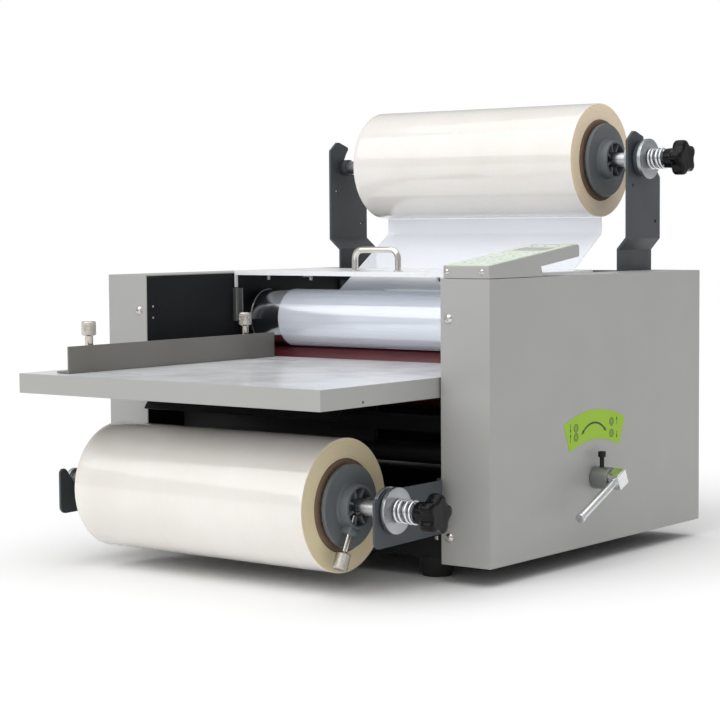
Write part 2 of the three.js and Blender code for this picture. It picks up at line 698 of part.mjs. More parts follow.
// ---------- assembly ----------
add('right_housing', rightHousing(), paint);
add('left_housing', mirrored(housing()), paint);
addPair('frame_plate', framePlate(), blackPaint);
add('base_tray', baseTray(), blackPaint);
add('rear_panel', rearPanel(), blackPaint);
add('film_guard', filmGuard(), blackPaint);
addPair('table_rail', tableRail(), blackPaint);
addPair('front_foot', foot(172, 37), rubber);
addPair('rear_foot', foot(172, 402), rubber);
for (const [name, bracket] of [['lower_bracket', lowerBracket], ['upper_bracket', upperBracket]]) {
  add(`${name}_right`, bracket(BRACKET_OUT), slatePaint);
  add(`${name}_left`, mirrored(bracket(BRACKET_OUT_LEFT)), slatePaint);
}
for (const [name, bar] of [['rear', REAR_IDLER], ['lower', LOWER_IDLER]]) {
  const half = INNER_X - GAP;
  add(`${name}_idler_bar`, turnedX(rod(bar.r, -half, half), bar.y, bar.z), chrome);
}
addPair('roller_bearing', bearing(), steel);
add('drive_motor', driveMotor(), steel);
add('panel_box', panelBox(), paint);
add('power_inlet', powerInlet(), blackPlastic);
add('power_switch_rocker', switchRocker(), blackPlastic);
add('cover_hinge_rod', hingeRod(), steel);
add('top_cover', topCover(), coverPaint);
add('cover_handle', coverHandle(), chrome);
add('feed_table', feedTable(), paint);
add('side_guide', sideGuide(), guidePaint);
for (const [place, y] of [['front', GUIDE_SCREW_Y[0]], ['rear', GUIDE_SCREW_Y[1]]]) {
  add(`guide_screw_${place}`, guideScrew(y), steel);
}
add('upper_roller', upperRoller(), chrome);
add('upper_roller_gear', gear(ROLL_TEETH, ROLL_Y, ROLL_Z, -Math.PI / 2, AXLE_R + GAP), steel);
add('lower_roller_shaft', lowerRollerShaft(), steel);
add('lower_roller_sleeve', lowerRollerSleeve(), silicone);
add('lower_roller_gear',
  gear(ROLL_TEETH, ROLL_Y, LOWER_Z, Math.PI / 2 + Math.PI / ROLL_TEETH, AXLE_R + GAP), steel);
add('motor_pinion', motorPinion(), steel);
addPair('lower_carriage', carriage(), steel);
add('pressure_shaft', pressureShaft(), steel);
add('pressure_lever', pressureLever(), steel);
add('film_web', filmWeb(), film);
addReel('lower', LOWER_REEL);
addReel('upper', UPPER_REEL);

const laminator = new THREE.Group();
laminator.add(machine);
export default laminator;
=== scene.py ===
# Looks for a desktop roll laminator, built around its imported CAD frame. Shapes are written in
# the machine's own millimetres, from the front lower edge of the housings, and are made in the
# row frame in metres.
import json
import math

import bmesh
import bpy
from mathutils import Matrix, Vector


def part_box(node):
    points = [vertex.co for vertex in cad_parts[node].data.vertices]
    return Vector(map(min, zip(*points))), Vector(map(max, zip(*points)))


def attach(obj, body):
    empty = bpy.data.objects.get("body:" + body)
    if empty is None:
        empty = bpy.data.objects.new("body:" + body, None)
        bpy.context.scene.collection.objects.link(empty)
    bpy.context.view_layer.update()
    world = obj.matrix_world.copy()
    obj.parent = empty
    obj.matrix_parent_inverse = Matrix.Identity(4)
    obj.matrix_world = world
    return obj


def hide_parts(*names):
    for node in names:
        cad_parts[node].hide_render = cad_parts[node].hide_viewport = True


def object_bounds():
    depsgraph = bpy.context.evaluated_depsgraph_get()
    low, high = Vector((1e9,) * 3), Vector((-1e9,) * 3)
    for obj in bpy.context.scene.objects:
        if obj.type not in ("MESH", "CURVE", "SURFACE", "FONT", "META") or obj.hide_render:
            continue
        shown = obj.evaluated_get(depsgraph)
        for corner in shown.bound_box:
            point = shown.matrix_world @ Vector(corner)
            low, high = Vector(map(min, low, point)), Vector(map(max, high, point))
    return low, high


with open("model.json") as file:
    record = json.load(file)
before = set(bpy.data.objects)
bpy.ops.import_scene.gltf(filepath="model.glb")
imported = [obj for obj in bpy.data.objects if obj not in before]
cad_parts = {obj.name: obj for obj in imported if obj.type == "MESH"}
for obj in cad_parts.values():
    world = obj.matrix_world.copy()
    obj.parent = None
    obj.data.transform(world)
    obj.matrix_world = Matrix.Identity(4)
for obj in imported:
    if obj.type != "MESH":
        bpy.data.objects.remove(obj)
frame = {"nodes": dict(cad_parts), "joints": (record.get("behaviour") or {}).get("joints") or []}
CAD_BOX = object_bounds()
NODES = frame["nodes"]
SCENE = bpy.context.scene

MM = 0.001
HOUSING_OUTER_X = 264.0                   # outer face of the drive-side housing
HOUSING_LOW, HOUSING_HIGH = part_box("right_housing")
ORIGIN = Vector((HOUSING_HIGH.x - HOUSING_OUTER_X * MM, HOUSING_LOW.y, HOUSING_LOW.z))
TAU = math.tau


def add_object(name, data):
    obj = bpy.data.objects.new(name, data)
    SCENE.collection.objects.link(obj)
    return obj


def to_row(point):
    return ORIGIN + Vector(point) * MM


def span(node):
    """Lowest and highest corner of a CAD node, in machine millimetres."""
    low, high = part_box(node)
    return (low - ORIGIN) / MM, (high - ORIGIN) / MM


def measured(node):
    """Lowest corner, highest corner and middle of a CAD node."""
    low, high = span(node)
    return low, high, [(a + b) / 2 for a, b in zip(low, high)]


def joint_named(name):
    return next(j for j in frame["joints"] if j["name"] == name)


# ---------------------------------------------------------------- materials
class Graph:
    """Small helper around one material's node tree."""

    def __init__(self, name):
        self.material = bpy.data.materials.new(name)
        self.material.use_nodes = True
        self.tree = self.material.node_tree
        self.tree.nodes.clear()
        self.out = self.add("ShaderNodeOutputMaterial")

    def add(self, kind, **settings):
        node = self.tree.nodes.new(kind)
        for key, value in settings.items():
            setattr(node, key, value)
        return node

    def link(self, source, target):
        self.tree.links.new(source, target)

    def put(self, target, value):
        if isinstance(value, bpy.types.NodeSocket):
            self.link(value, target)
        else:
            target.default_value = value

    def coords(self, stretch=(1, 1, 1)):
        where = self.add("ShaderNodeTexCoord").outputs["Object"]
        mapping = self.add("ShaderNodeMapping")
        mapping.inputs["Scale"].default_value = stretch
        self.link(where, mapping.inputs["Vector"])
        return mapping.outputs["Vector"]

    def noise(self, vector, scale, detail=4.0, roughness=0.55):
        node = self.add("ShaderNodeTexNoise")
        self.link(vector, node.inputs["Vector"])
        node.inputs["Scale"].default_value = scale
        node.inputs["Detail"].default_value = detail
        node.inputs["Roughness"].default_value = roughness
        return node.outputs["Fac"]

    def ramp(self, factor, low, high, from_low=0.3, from_high=0.7):
        node = self.add("ShaderNodeMapRange")
        self.put(node.inputs["Value"], factor)
        for key, value in (("From Min", from_low), ("From Max", from_high),
                           ("To Min", low), ("To Max", high)):
            node.inputs[key].default_value = value
        return node.outputs["Result"]

    def math(self, operation, a, b=0.0, c=0.0):
        node = self.add("ShaderNodeMath", operation=operation)
        for socket, value in zip(node.inputs, (a, b, c)):
            self.put(socket, value)
        return node.outputs[0]

    def distance(self, y, z):
        """Distance from an axis along X through (y, z)."""
        parts = self.add("ShaderNodeSeparateXYZ")
        self.link(self.add("ShaderNodeTexCoord").outputs["Object"], parts.inputs[0])
        dy = self.math("SUBTRACT", parts.outputs["Y"], y)
        dz = self.math("SUBTRACT", parts.outputs["Z"], z)
        squares = [self.math("MULTIPLY", d, d) for d in (dy, dz)]
        return self.math("SQRT", self.math("ADD", *squares))

    def mix(self, factor, a, b):
        node = self.add("ShaderNodeMix", data_type="RGBA")
        self.put(node.inputs[0], factor)
        self.put(node.inputs[6], a)
        self.put(node.inputs[7], b)
        return node.outputs[2]

    def bump(self, height, depth, normal=None, strength=1.0):
        node = self.add("ShaderNodeBump")
        node.inputs["Strength"].default_value = strength
        node.inputs["Distance"].default_value = depth
        self.link(height, node.inputs["Height"])
        if normal is not None:
            self.link(normal, node.inputs["Normal"])
        return node.outputs["Normal"]

    def shader(self, colour, roughness, normal, **constants):
        node = self.add("ShaderNodeBsdfPrincipled")
        self.put(node.inputs["Base Color"], colour)
        self.put(node.inputs["Roughness"], roughness)
        if normal is not None:
            self.link(normal, node.inputs["Normal"])
        for key, value in constants.items():
            node.inputs[key.replace("_", " ")].default_value = value
        self.link(node.outputs[0], self.out.inputs["Surface"])
        return self.material


def shade(colour, factor):
    return tuple(min(1.0, c * factor) for c in colour[:3]) + (1.0,)


def surface(name, colour, roughness, vary=0.05, vary_scale=9.0, rough_vary=0.06, grain=900.0,
            grain_depth=0.00003, stretch=(1, 1, 1), wear=0.0, **constants):
    """General finish: slow colour drift, uneven gloss, a fine grain in relief and rubbed edges."""
    g = Graph(name)
    plain = g.coords()
    drift = g.noise(plain, vary_scale, 5.0)
    tone = g.mix(g.ramp(drift, 0.0, 1.0), shade(colour, 1 - vary), shade(colour, 1 + vary))
    if wear:
        edge = g.add("ShaderNodeNewGeometry").outputs["Pointiness"]
        worn = g.math("MULTIPLY", g.ramp(edge, 0.0, wear, 0.52, 0.6), g.ramp(drift, 0.35, 1.0))
        tone = g.mix(worn, tone, shade(colour, 1.5))
    fine = g.noise(g.coords(stretch), grain, 3.0)
    smudge = g.noise(plain, vary_scale * 3.3, 4.0)
    rough = g.ramp(smudge, max(0.02, roughness - rough_vary), roughness + rough_vary)
    return g.shader(tone, rough, g.bump(fine, grain_depth), **constants)


def turned_metal(name, colour, roughness, groove=900.0, depth=0.000012, **constants):
    """Metal turned or ground about the X axis: fine rings that run round it."""
    g = Graph(name)
    rings = g.noise(g.coords((1, 0.02, 0.02)), groove, 3.0)
    cloud = g.noise(g.coords(), 22.0, 4.0)
    tone = g.mix(g.ramp(cloud, 0.0, 1.0), shade(colour, 0.93), shade(colour, 1.04))
    lines = g.ramp(rings, -0.04, 0.05)
    rough = g.math("ADD", g.ramp(cloud, roughness - 0.03, roughness + 0.05), lines)
    return g.shader(tone, rough, g.bump(rings, depth), Metallic=1.0, **constants)


PAINT = (0.372, 0.370, 0.358)
paint_grey = surface("paint_grey", PAINT, 0.42, vary=0.02, grain=1100, grain_depth=0.000035,
                     Coat_Weight=0.12, Coat_Roughness=0.3)
paint_black = surface("paint_black", (0.009, 0.0095, 0.011), 0.45, vary=0.12, grain=1000,
                      Specular_IOR_Level=0.2)
paint_slate = surface("paint_slate", (0.052, 0.06, 0.068), 0.5, grain=1000,
                      grain_depth=0.00004)
# the top cover: the housings' grey paint, given a near-white colour as painted light from above
paint_white = surface("paint_white", (0.88, 0.89, 0.91), 0.3, vary=0.015, grain=700,
                      grain_depth=0.00002, Coat_Weight=0.3, Coat_Roughness=0.15)
guide_grey = surface("guide_grey", (0.205, 0.198, 0.18), 0.4, vary=0.07,
                     stretch=(1, 0.25, 1), Metallic=0.2)
steel = surface("steel", (0.62, 0.62, 0.61), 0.32, vary=0.07, vary_scale=30, grain=1400,
                grain_depth=0.000015, Metallic=1.0)
zinc = surface("zinc", (0.42, 0.44, 0.455), 0.34, vary=0.09, vary_scale=55, rough_vary=0.09,
               grain=1500, grain_depth=0.00002, Metallic=1.0)
screw_metal = surface("screw_metal", (0.66, 0.62, 0.58), 0.22, vary=0.06, vary_scale=60,
                      grain=1500, grain_depth=0.00001, Metallic=1.0)
nickel = surface("nickel", (0.60, 0.56, 0.51), 0.24, vary=0.07, vary_scale=70, grain=1600,
                 grain_depth=0.000015, Metallic=1.0)
chrome = turned_metal("chrome", (0.84, 0.85, 0.87), 0.12)
spindle_steel = turned_metal("spindle_steel", (0.52, 0.53, 0.55), 0.3)
handle_chrome = surface("handle_chrome", (0.74, 0.71, 0.67), 0.12, vary=0.04, vary_scale=40,
                        rough_vary=0.03, grain=1400, grain_depth=0.000006, Metallic=1.0)
roller_chrome = turned_metal("roller_chrome", (0.86, 0.89, 0.93), 0.13, groove=1500,
                             depth=0.000008)
silicone = surface("silicone_red", (0.085, 0.006, 0.009), 0.42, vary=0.12, vary_scale=18,
                   grain=1600, stretch=(1, 0.1, 0.1), Coat_Weight=0.15, Coat_Roughness=0.3)
rubber = surface("rubber_black", (0.010, 0.010, 0.0095), 0.72, vary=0.15, grain=800,
                 grain_depth=0.00006)
phenolic = surface("plastic_black", (0.004, 0.004, 0.005), 0.1, vary=0.1, rough_vary=0.03,
                   grain=500, grain_depth=0.000008, Specular_IOR_Level=0.17)
black_oxide = surface("black_oxide", (0.012, 0.012, 0.012), 0.34, vary=0.15, grain=1400,
                      grain_depth=0.00002, Metallic=0.6)
nylon = surface("plastic_grey", (0.122, 0.136, 0.143), 0.42, vary_scale=25, grain=1100,
                grain_depth=0.00004, wear=0.6)
lever_steel = surface("lever_steel", (0.30, 0.31, 0.30), 0.42, vary=0.07, vary_scale=35,
                      grain=1300, grain_depth=0.00002, Metallic=0.85)
lever_bright = surface("lever_bright", (0.74, 0.75, 0.77), 0.24, vary_scale=45, grain=1300,
                       grain_depth=0.000012, Metallic=1.0)
label_green = surface("label_green", (0.31, 0.53, 0.022), 0.4, vary=0.02, grain=700,
                      grain_depth=0.00001, Specular_IOR_Level=0.3)
label_print = surface("label_print", (0.012, 0.03, 0.006), 0.45, vary=0.1,
                      grain_depth=0.00001)
overlay_green = surface("overlay_green", (0.70, 0.80, 0.60), 0.3, vary=0.02, grain=600,
                        grain_depth=0.00001, Coat_Weight=0.4, Coat_Roughness=0.12)
overlay_grey = surface("overlay_grey", (0.30, 0.35, 0.36), 0.25, grain=800,
                       grain_depth=0.00001, Coat_Weight=0.5, Coat_Roughness=0.08)
overlay_key = surface("overlay_key", (0.72, 0.84, 0.86), 0.3, vary=0.03, grain=800,
                      grain_depth=0.00001, Coat_Weight=0.4, Coat_Roughness=0.12)


def paint_with_lit_top():
    """The housings' paint; where it faces up it is smoother, and painted much lighter and cooler as
    painted light from above, with specks of painted glint.
    """
    g = Graph("paint_with_lit_top")
    plain = g.coords()
    up = g.add("ShaderNodeSeparateXYZ")
    g.link(g.add("ShaderNodeNewGeometry").outputs["Normal"], up.inputs[0])
    # mask of the up-facing top, where the colour is painted lighter as painted light from above
    top = g.ramp(up.outputs["Z"], 0.0, 1.0, 0.85, 0.95)
    drift = g.noise(plain, 7.0, 4.0)
    side = g.mix(g.ramp(drift, 0.0, 1.0), shade(PAINT, 0.98), shade(PAINT, 1.02))
    # fine specks of painted glint on the lit top
    painted_glints = g.noise(plain, 420.0, 2.0)
    bright = g.mix(g.ramp(painted_glints, 0.0, 1.0, 0.35, 0.65), (0.81, 0.825, 0.86, 1),
                   (0.88, 0.895, 0.925, 1))
    tone = g.mix(top, side, bright)
    rough_side = g.ramp(g.noise(plain, 30.0), 0.36, 0.48)
    rough_top = g.ramp(g.noise(plain, 22.0), 0.17, 0.27)
    blend = g.add("ShaderNodeMix", data_type="FLOAT")
    g.put(blend.inputs[0], top)
    g.put(blend.inputs[2], rough_side)
    g.put(blend.inputs[3], rough_top)
    fine = g.noise(plain, 1000.0, 3.0)
    return g.shader(tone, blend.outputs[0], g.bump(fine, 0.00002), Coat_Weight=0.25,
                    Coat_Roughness=0.08)


def film_outside(name):
    """Clear film wound solid: milky, glossy, with faint bands that run round the roll."""
    g = Graph(name)
    bands = g.noise(g.coords((1, 0.05, 0.05)), 42.0, 3.0)
    hoops = g.noise(g.coords((1, 0.03, 0.03)), 420.0, 2.0)
    cloud = g.noise(g.coords(), 11.0, 3.0)
    tone = g.mix(g.ramp(cloud, 0.0, 1.0), (0.77, 0.74, 0.69, 1), (0.83, 0.805, 0.77, 1))
    tone = g.mix(g.ramp(hoops, 0.0, 0.05), tone, (0.66, 0.62, 0.56, 1))
    soft = g.bump(bands, 0.0006)
    return g.shader(tone, g.ramp(bands, 0.12, 0.2), g.bump(hoops, 0.000012, soft),
                    Coat_Weight=1.0, Coat_Roughness=0.05, Subsurface_Weight=0.15,
                    Subsurface_Scale=0.01)


def film_edge(name, y, z, colour):
    """End of a wound roll, with the fine rings of its layers about the axis (y, z)."""
    g = Graph(name)
    line = g.add("ShaderNodeCombineXYZ")
    g.link(g.distance(y, z), line.inputs[0])
    layers = g.noise(line.outputs[0], 2600.0, 3.0)
    bands = g.noise(line.outputs[0], 260.0, 2.0)
    tone = g.mix(g.ramp(bands, 0.0, 1.0), shade(colour, 0.92), shade(colour, 1.06))
    tone = g.mix(g.ramp(layers, 0.0, 0.4), tone, shade(colour, 0.72))
    return g.shader(tone, g.ramp(bands, 0.3, 0.45), g.bump(layers, 0.00006), Coat_Weight=0.3,
                    Coat_Roughness=0.2, Subsurface_Weight=0.1, Subsurface_Scale=0.006)


def kraft():
    g = Graph("card")
    plain = g.coords()
    fibre = g.noise(g.coords((1, 1, 0.3)), 500.0, 5.0)
    cloud = g.noise(plain, 60.0, 4.0)
    tone = g.mix(g.ramp(cloud, 0.0, 1.0), (0.115, 0.068, 0.045, 1), (0.19, 0.12, 0.08, 1))
    tone = g.mix(g.ramp(fibre, 0.0, 0.5), tone, (0.26, 0.17, 0.11, 1))
    return g.shader(tone, g.ramp(cloud, 0.78, 0.92), g.bump(fibre, 0.00012))


def film_sheet(y, z, near, far):
    """The single web of film: milky where it hangs free, clear where it lies on the roller, and
    glowing faintly with painted light.

    The roller's axis is at (y, z); the film clears within near of it and is milky beyond far.
    """
    g = Graph("film_sheet")
    ripple = g.noise(g.coords((1, 0.12, 0.12)), 26.0, 2.0)
    haze = g.noise(g.coords(), 9.0, 3.0)
    tone = g.mix(g.ramp(haze, 0.0, 1.0), (0.84, 0.87, 0.93, 1), (0.88, 0.90, 0.95, 1))
    free = g.ramp(g.distance(y, z), 0.32, 0.60, near, far)
    # a faint bluish emission: painted light that stands in for light coming through the film
    material = g.shader(tone, g.ramp(haze, 0.16, 0.26), g.bump(ripple, 0.0005), Coat_Weight=0.3,
                        Coat_Roughness=0.08, Emission_Color=(0.86, 0.92, 1.0, 1),
                        Emission_Strength=0.10)
    shader = next(n for n in g.tree.nodes if n.type == "BSDF_PRINCIPLED")
    g.link(free, shader.inputs["Alpha"])
    return material


table_finish_lit_top = paint_with_lit_top()
card = kraft()
roller_low, roller_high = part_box("upper_roller")
roller_axis = (roller_low + roller_high) / 2
web_matrix = NODES["film_web"].matrix_world.inverted()
web_axis = web_matrix @ Vector((0, roller_axis.y, roller_axis.z))
WEB_CLEAR, WEB_MILKY = 0.0355, 0.0375     # metres from the roller's axis
web_film = film_sheet(web_axis.y, web_axis.z, WEB_CLEAR, WEB_MILKY)

# ---------------------------------------------------------------- mesh tools
# A shape is (vertices, faces) in machine millimetres.


def moved(shape, matrix):
    verts, faces = shape
    return [matrix @ Vector(v) for v in verts], faces


def placed(shapes, matrix, number=0):
    """Shapes moved by one matrix, each with a material number, as piece() takes them."""
    return [(moved(shape, matrix), number) for shape in shapes]


def joined(*shapes):
    verts, faces = [], []
    for part_verts, part_faces in shapes:
        base = len(verts)
        verts.extend(part_verts)
        faces.extend([base + i for i in f] for f in part_faces)
    return verts, faces


def aim(origin, direction, up=(0, 0, 1)):
    """Matrix that takes local +Z to direction, and local +Y near up."""
    z = Vector(direction).normalized()
    x = Vector(up).cross(z)
    if x.length < 1e-6:
        x = Vector((1, 0, 0))
    x.normalize()
    y = z.cross(x)
    turn = Matrix((x, y, z)).transposed().to_4x4()
    return Matrix.Translation(Vector(origin)) @ turn


def across(y, z, x=0.0):
    """Matrix with local Z along machine X, local X along Y and local Y along Z."""
    return Matrix(((0, 0, 1, x), (1, 0, 0, y), (0, 1, 0, z), (0, 0, 0, 1)))


def softened(profile, size, steps=3, ring=False):
    """Rounds the corners of a [along, radius] profile."""
    count = len(profile)
    out = []
    for i, corner in enumerate(profile):
        p = Vector(corner)
        if not ring and i in (0, count - 1):
            out.append(tuple(p))
            continue
        before = Vector(profile[i - 1]) - p
        after = Vector(profile[(i + 1) % count]) - p
        reach = min(size, before.length * 0.45, after.length * 0.45)
        if before.normalized().dot(after.normalized()) < -0.999:
            out.append(tuple(p))
            continue
        a = p + before.normalized() * reach
        b = p + after.normalized() * reach
        for k in range(steps + 1):
            t = k / steps
            out.append(tuple(a * (1 - t) ** 2 + p * 2 * t * (1 - t) + b * t * t))
    return out


def lathe(profile, sides=96, ring=False):
    """Turns a profile of [along, radius] about local Z. A ring profile closes on itself."""
    verts, faces, rows = [], [], []
    for along, radius in profile:
        if radius < 1e-6:
            rows.append([len(verts)])
            verts.append((0.0, 0.0, along))
            continue
        rows.append(list(range(len(verts), len(verts) + sides)))
        verts.extend((radius * math.cos(TAU * i / sides), radius * math.sin(TAU * i / sides), along)
                     for i in range(sides))
    pairs = list(zip(rows, rows[1:]))
    if ring:
        pairs.append((rows[-1], rows[0]))
    for a, b in pairs:
        for i in range(sides):
            j = (i + 1) % sides
            if len(a) == 1 and len(b) == 1:
                continue
            if len(a) == 1:
                faces.append([a[0], b[j], b[i]])
            elif len(b) == 1:
                faces.append([a[i], a[j], b[0]])
            else:
                faces.append([a[i], a[j], b[j], b[i]])
    return verts, faces


def rod(radius, start, end, chamfer=0.6, sides=64):
    profile = softened([(start, 0), (start, radius), (end, radius), (end, 0)], chamfer)
    return lathe(profile, sides)


def turned_ring(inner, outer, start, end, chamfer=0.5, sides=96):
    profile = [(start, inner), (start, outer), (end, outer), (end, inner)]
    return lathe(softened(profile, chamfer, ring=True), sides, ring=True)


def inset(outline, distance):
    """Moves a closed, counter-clockwise outline inwards."""
    count = len(outline)
    out = []
    for i in range(count):
        p = Vector(outline[i])
        a = (p - Vector(outline[i - 1])).normalized()
        b = (Vector(outline[(i + 1) % count]) - p).normalized()
        na, nb = Vector((-a.y, a.x)), Vector((-b.y, b.x))
        both = na + nb
        scale = 2 / max(0.5, both.length_squared)
        out.append(tuple(p + both * distance * scale))
    return out


def skin(rings):
    """Closed skin through rings of equal count, with a flat face at each end."""
    count, last = len(rings[0]), (len(rings) - 1) * len(rings[0])
    verts = [p for ring in rings for p in ring]
    faces = []
    for k in range(0, last, count):
        for i in range(count):
            j = (i + 1) % count
            faces.append([k + i, k + j, k + count + j, k + count + i])
    faces.append(list(range(count))[::-1])
    faces.append([last + i for i in range(count)])
    return verts, faces


def pointed(rings, low_tip, high_tip):
    """Skin through rings of equal count, drawn to a point at each end."""
    count, last = len(rings[0]), 1 + (len(rings) - 1) * len(rings[0])
    verts = [low_tip] + [p for ring in rings for p in ring] + [high_tip]
    faces = []
    for i in range(count):
        j = (i + 1) % count
        faces.append([0, 1 + j, 1 + i])
        for k in range(1, last, count):
            faces.append([k + i, k + j, k + count + j, k + count + i])
        faces.append([last + i, last + j, len(verts) - 1])
    return verts, faces


def prism(outline, low, high, chamfer=0.0):
    """Outline in local (X, Y) stretched along local Z, with chamfered rims."""
    levels = [(low, chamfer), (low + chamfer * 0.4, chamfer * 0.4), (low + chamfer, 0),
              (high - chamfer, 0), (high - chamfer * 0.4, chamfer * 0.4), (high, chamfer)]
    if not chamfer:
        levels = [(low, 0), (high, 0)]
    return skin([[(x, y, z) for x, y in (inset(outline, d) if d else outline)]
                 for z, d in levels])


def rounded_rect(width, height, radius, steps=5, centre=(0.0, 0.0)):
    out = []
    for k, (sx, sy) in enumerate(((1, 1), (-1, 1), (-1, -1), (1, -1))):
        for i in range(steps + 1):
            a = math.radians(90 * k + 90 * i / steps)
            out.append((centre[0] + sx * (width / 2 - radius) + radius * math.cos(a),
                        centre[1] + sy * (height / 2 - radius) + radius * math.sin(a)))
    return out


def circle(radius, sides=40, centre=(0.0, 0.0)):
    return [(centre[0] + radius * math.cos(TAU * i / sides),
             centre[1] + radius * math.sin(TAU * i / sides)) for i in range(sides)]


def plate(x, y, z, radius=0.4, chamfer=0.3):
    """Rounded slab between two machine corners, upright in Z."""
    middle = ((x[0] + x[1]) / 2, (y[0] + y[1]) / 2)
    outline = rounded_rect(x[1] - x[0], y[1] - y[0], radius, 4, middle)
    return prism(outline, z[0], z[1], chamfer)


def tube(points, radius, sides=20):
    """Round tube along points, with flat ends."""
    points = [Vector(p) for p in points]
    count = len(points)
    tangents = [(points[min(i + 1, count - 1)] - points[max(i - 1, 0)]).normalized()
                for i in range(count)]
    normal = tangents[0].orthogonal().normalized()
    rings = []
    for p, t in zip(points, tangents):
        normal = (normal - t * normal.dot(t)).normalized()
        other = t.cross(normal)
        rings.append([p + (normal * math.cos(TAU * i / sides) + other * math.sin(TAU * i / sides))
                      * radius for i in range(sides)])
    return skin(rings)


def rounded_path(corners, radius, steps=8):
    out = [Vector(corners[0])]
    for a, b, c in zip(corners, corners[1:], corners[2:]):
        a, b, c = Vector(a), Vector(b), Vector(c)
        p = b + (a - b).normalized() * radius
        q = b + (c - b).normalized() * radius
        out.extend(p * (1 - t) ** 2 + b * 2 * t * (1 - t) + q * t * t
                   for t in (i / steps for i in range(steps + 1)))
    out.append(Vector(corners[-1]))
    return out


def dome_screw(radius=4.0, height=2.2, sides=48, rings=20):
    """Pan-head screw with a cross recess, standing on local Z = 0."""
    levels = [(radius * 0.98, -0.6), (radius, 0.15)]
    levels += [(radius * (1 - k / rings), None) for k in range(1, rings)]
    arm, half = radius * 0.56, radius * 0.13

    def top(x, y):
        r = math.hypot(x, y) / radius
        z = height * math.sqrt(max(0.0, 1 - 0.86 * r * r)) - height * 0.37 * r ** 6
        cut = max(min(arm - abs(x), half - abs(y)), min(half - abs(x), arm - abs(y)))
        return z - height * 0.5 * min(1.0, max(0.0, cut / (half * 0.5)))

    around = [(math.cos(TAU * i / sides), math.sin(TAU * i / sides)) for i in range(sides)]
    shape_rings = [[(r * x, r * y, top(r * x, r * y) if z is None else z) for x, y in around]
                   for r, z in levels]
    return pointed(shape_rings, (0, 0, -0.6), (0, 0, top(0, 0)))


def knurled_head(radius, low, high, starts=30, sides=180, pitch=0.45):
    """Cylinder with a diamond knurl cut into its wall and chamfered rims."""
    rows = max(8, int((high - low) / pitch))
    twist = math.pi * starts / (TAU * radius)      # grooves at 45 degrees
    levels = [(low, radius - 1.0, 0.0), (low + 0.15, radius - 0.9, 0.0)]
    for k in range(rows + 1):
        z = low + 0.9 + (high - low - 1.8) * k / rows
        levels.append((z, radius, 1.0))
    levels += [(high - 0.15, radius - 0.9, 0.0), (high, radius - 1.1, 0.0)]
    shape_rings = []
    for z, r, cut in levels:
        ring = []
        for i in range(sides):
            a = TAU * i / sides
            one = abs(math.sin(starts * a / 2 + twist * z))
            two = abs(math.sin(starts * a / 2 - twist * z))
            depth = 0.42 * (1 - min(one, two)) * cut
            ring.append(((r - depth) * math.cos(a), (r - depth) * math.sin(a), z))
        shape_rings.append(ring)
    return pointed(shape_rings, (0, 0, low), (0, 0, high))


def coil(start, end, radius, wire, turns, sides=14, steps=40):
    """Compression spring about local Z with a closed turn at each end."""
    total = turns + 2
    count = int(total * steps)
    pitch = wire * 2.05
    points = []
    for i in range(count + 1):
        t = total * i / count
        if t <= 1:
            z = start + wire + pitch * t
        elif t >= total - 1:
            z = end - wire - pitch * (total - t)
        else:
            u = (t - 1) / (total - 2)
            z = start + wire + pitch + (end - start - 2 * wire - 2 * pitch) * u
        points.append((radius * math.cos(TAU * t), radius * math.sin(TAU * t), z))
    return tube(points, wire, sides)


CREASE = 32.0                             # degrees, where shading breaks


def turn_outwards(mesh, seam=0.0):
    """Faces look outwards. With a seam distance, near points are joined first."""
    work = bmesh.new()
    work.from_mesh(mesh)
    if seam:
        bmesh.ops.remove_doubles(work, verts=work.verts, dist=seam)
    bmesh.ops.recalc_face_normals(work, faces=work.faces)
    work.to_mesh(mesh)
    work.free()


def piece(name, shapes, body, materials, replaces=(), crease=CREASE):
    """Makes one object from shapes, each with a material number, and rides it on a CAD body."""
    mesh = bpy.data.meshes.new(name)
    verts, faces, numbers = [], [], []
    for shape, number in shapes:
        base = len(verts)
        verts.extend(to_row(v) for v in shape[0])
        faces.extend([base + i for i in f] for f in shape[1])
        numbers.extend([number] * len(shape[1]))
    mesh.from_pydata([tuple(v) for v in verts], [], faces)
    mesh.polygons.foreach_set("material_index", numbers)
    turn_outwards(mesh)
    mesh.polygons.foreach_set("use_smooth", [True] * len(mesh.polygons))
    mesh.set_sharp_from_angle(angle=math.radians(crease))
    for material in materials:
        mesh.materials.append(material)
    obj = add_object(name, mesh)
    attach(obj, body)
    if replaces:
        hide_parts(*replaces)
    return obj


# ---------------------------------------------------------------- CAD nodes that stay
def dress(node, material, bevel=0.5, segments=3):
    """Gives a CAD node its finish and small rounded edges."""
    obj = NODES[node]
    obj.data.materials.clear()
    obj.data.materials.append(material)
    weld = obj.modifiers.new("weld", "WELD")
    weld.merge_threshold = 0.00002
    if bevel:
        flat = obj.modifiers.new("flat_sheets", "DECIMATE")
        flat.decimate_type = "DISSOLVE"
        flat.angle_limit = math.radians(0.5)
        edge = obj.modifiers.new("edges", "BEVEL")
        edge.width = bevel * MM
        edge.segments = segments
        edge.limit_method = "ANGLE"
        edge.angle_limit = math.radians(35)
        edge.use_clamp_overlap = True
        faces = obj.modifiers.new("flat_faces", "WEIGHTED_NORMAL")
        faces.weight = 100
        faces.keep_sharp = True
    return obj


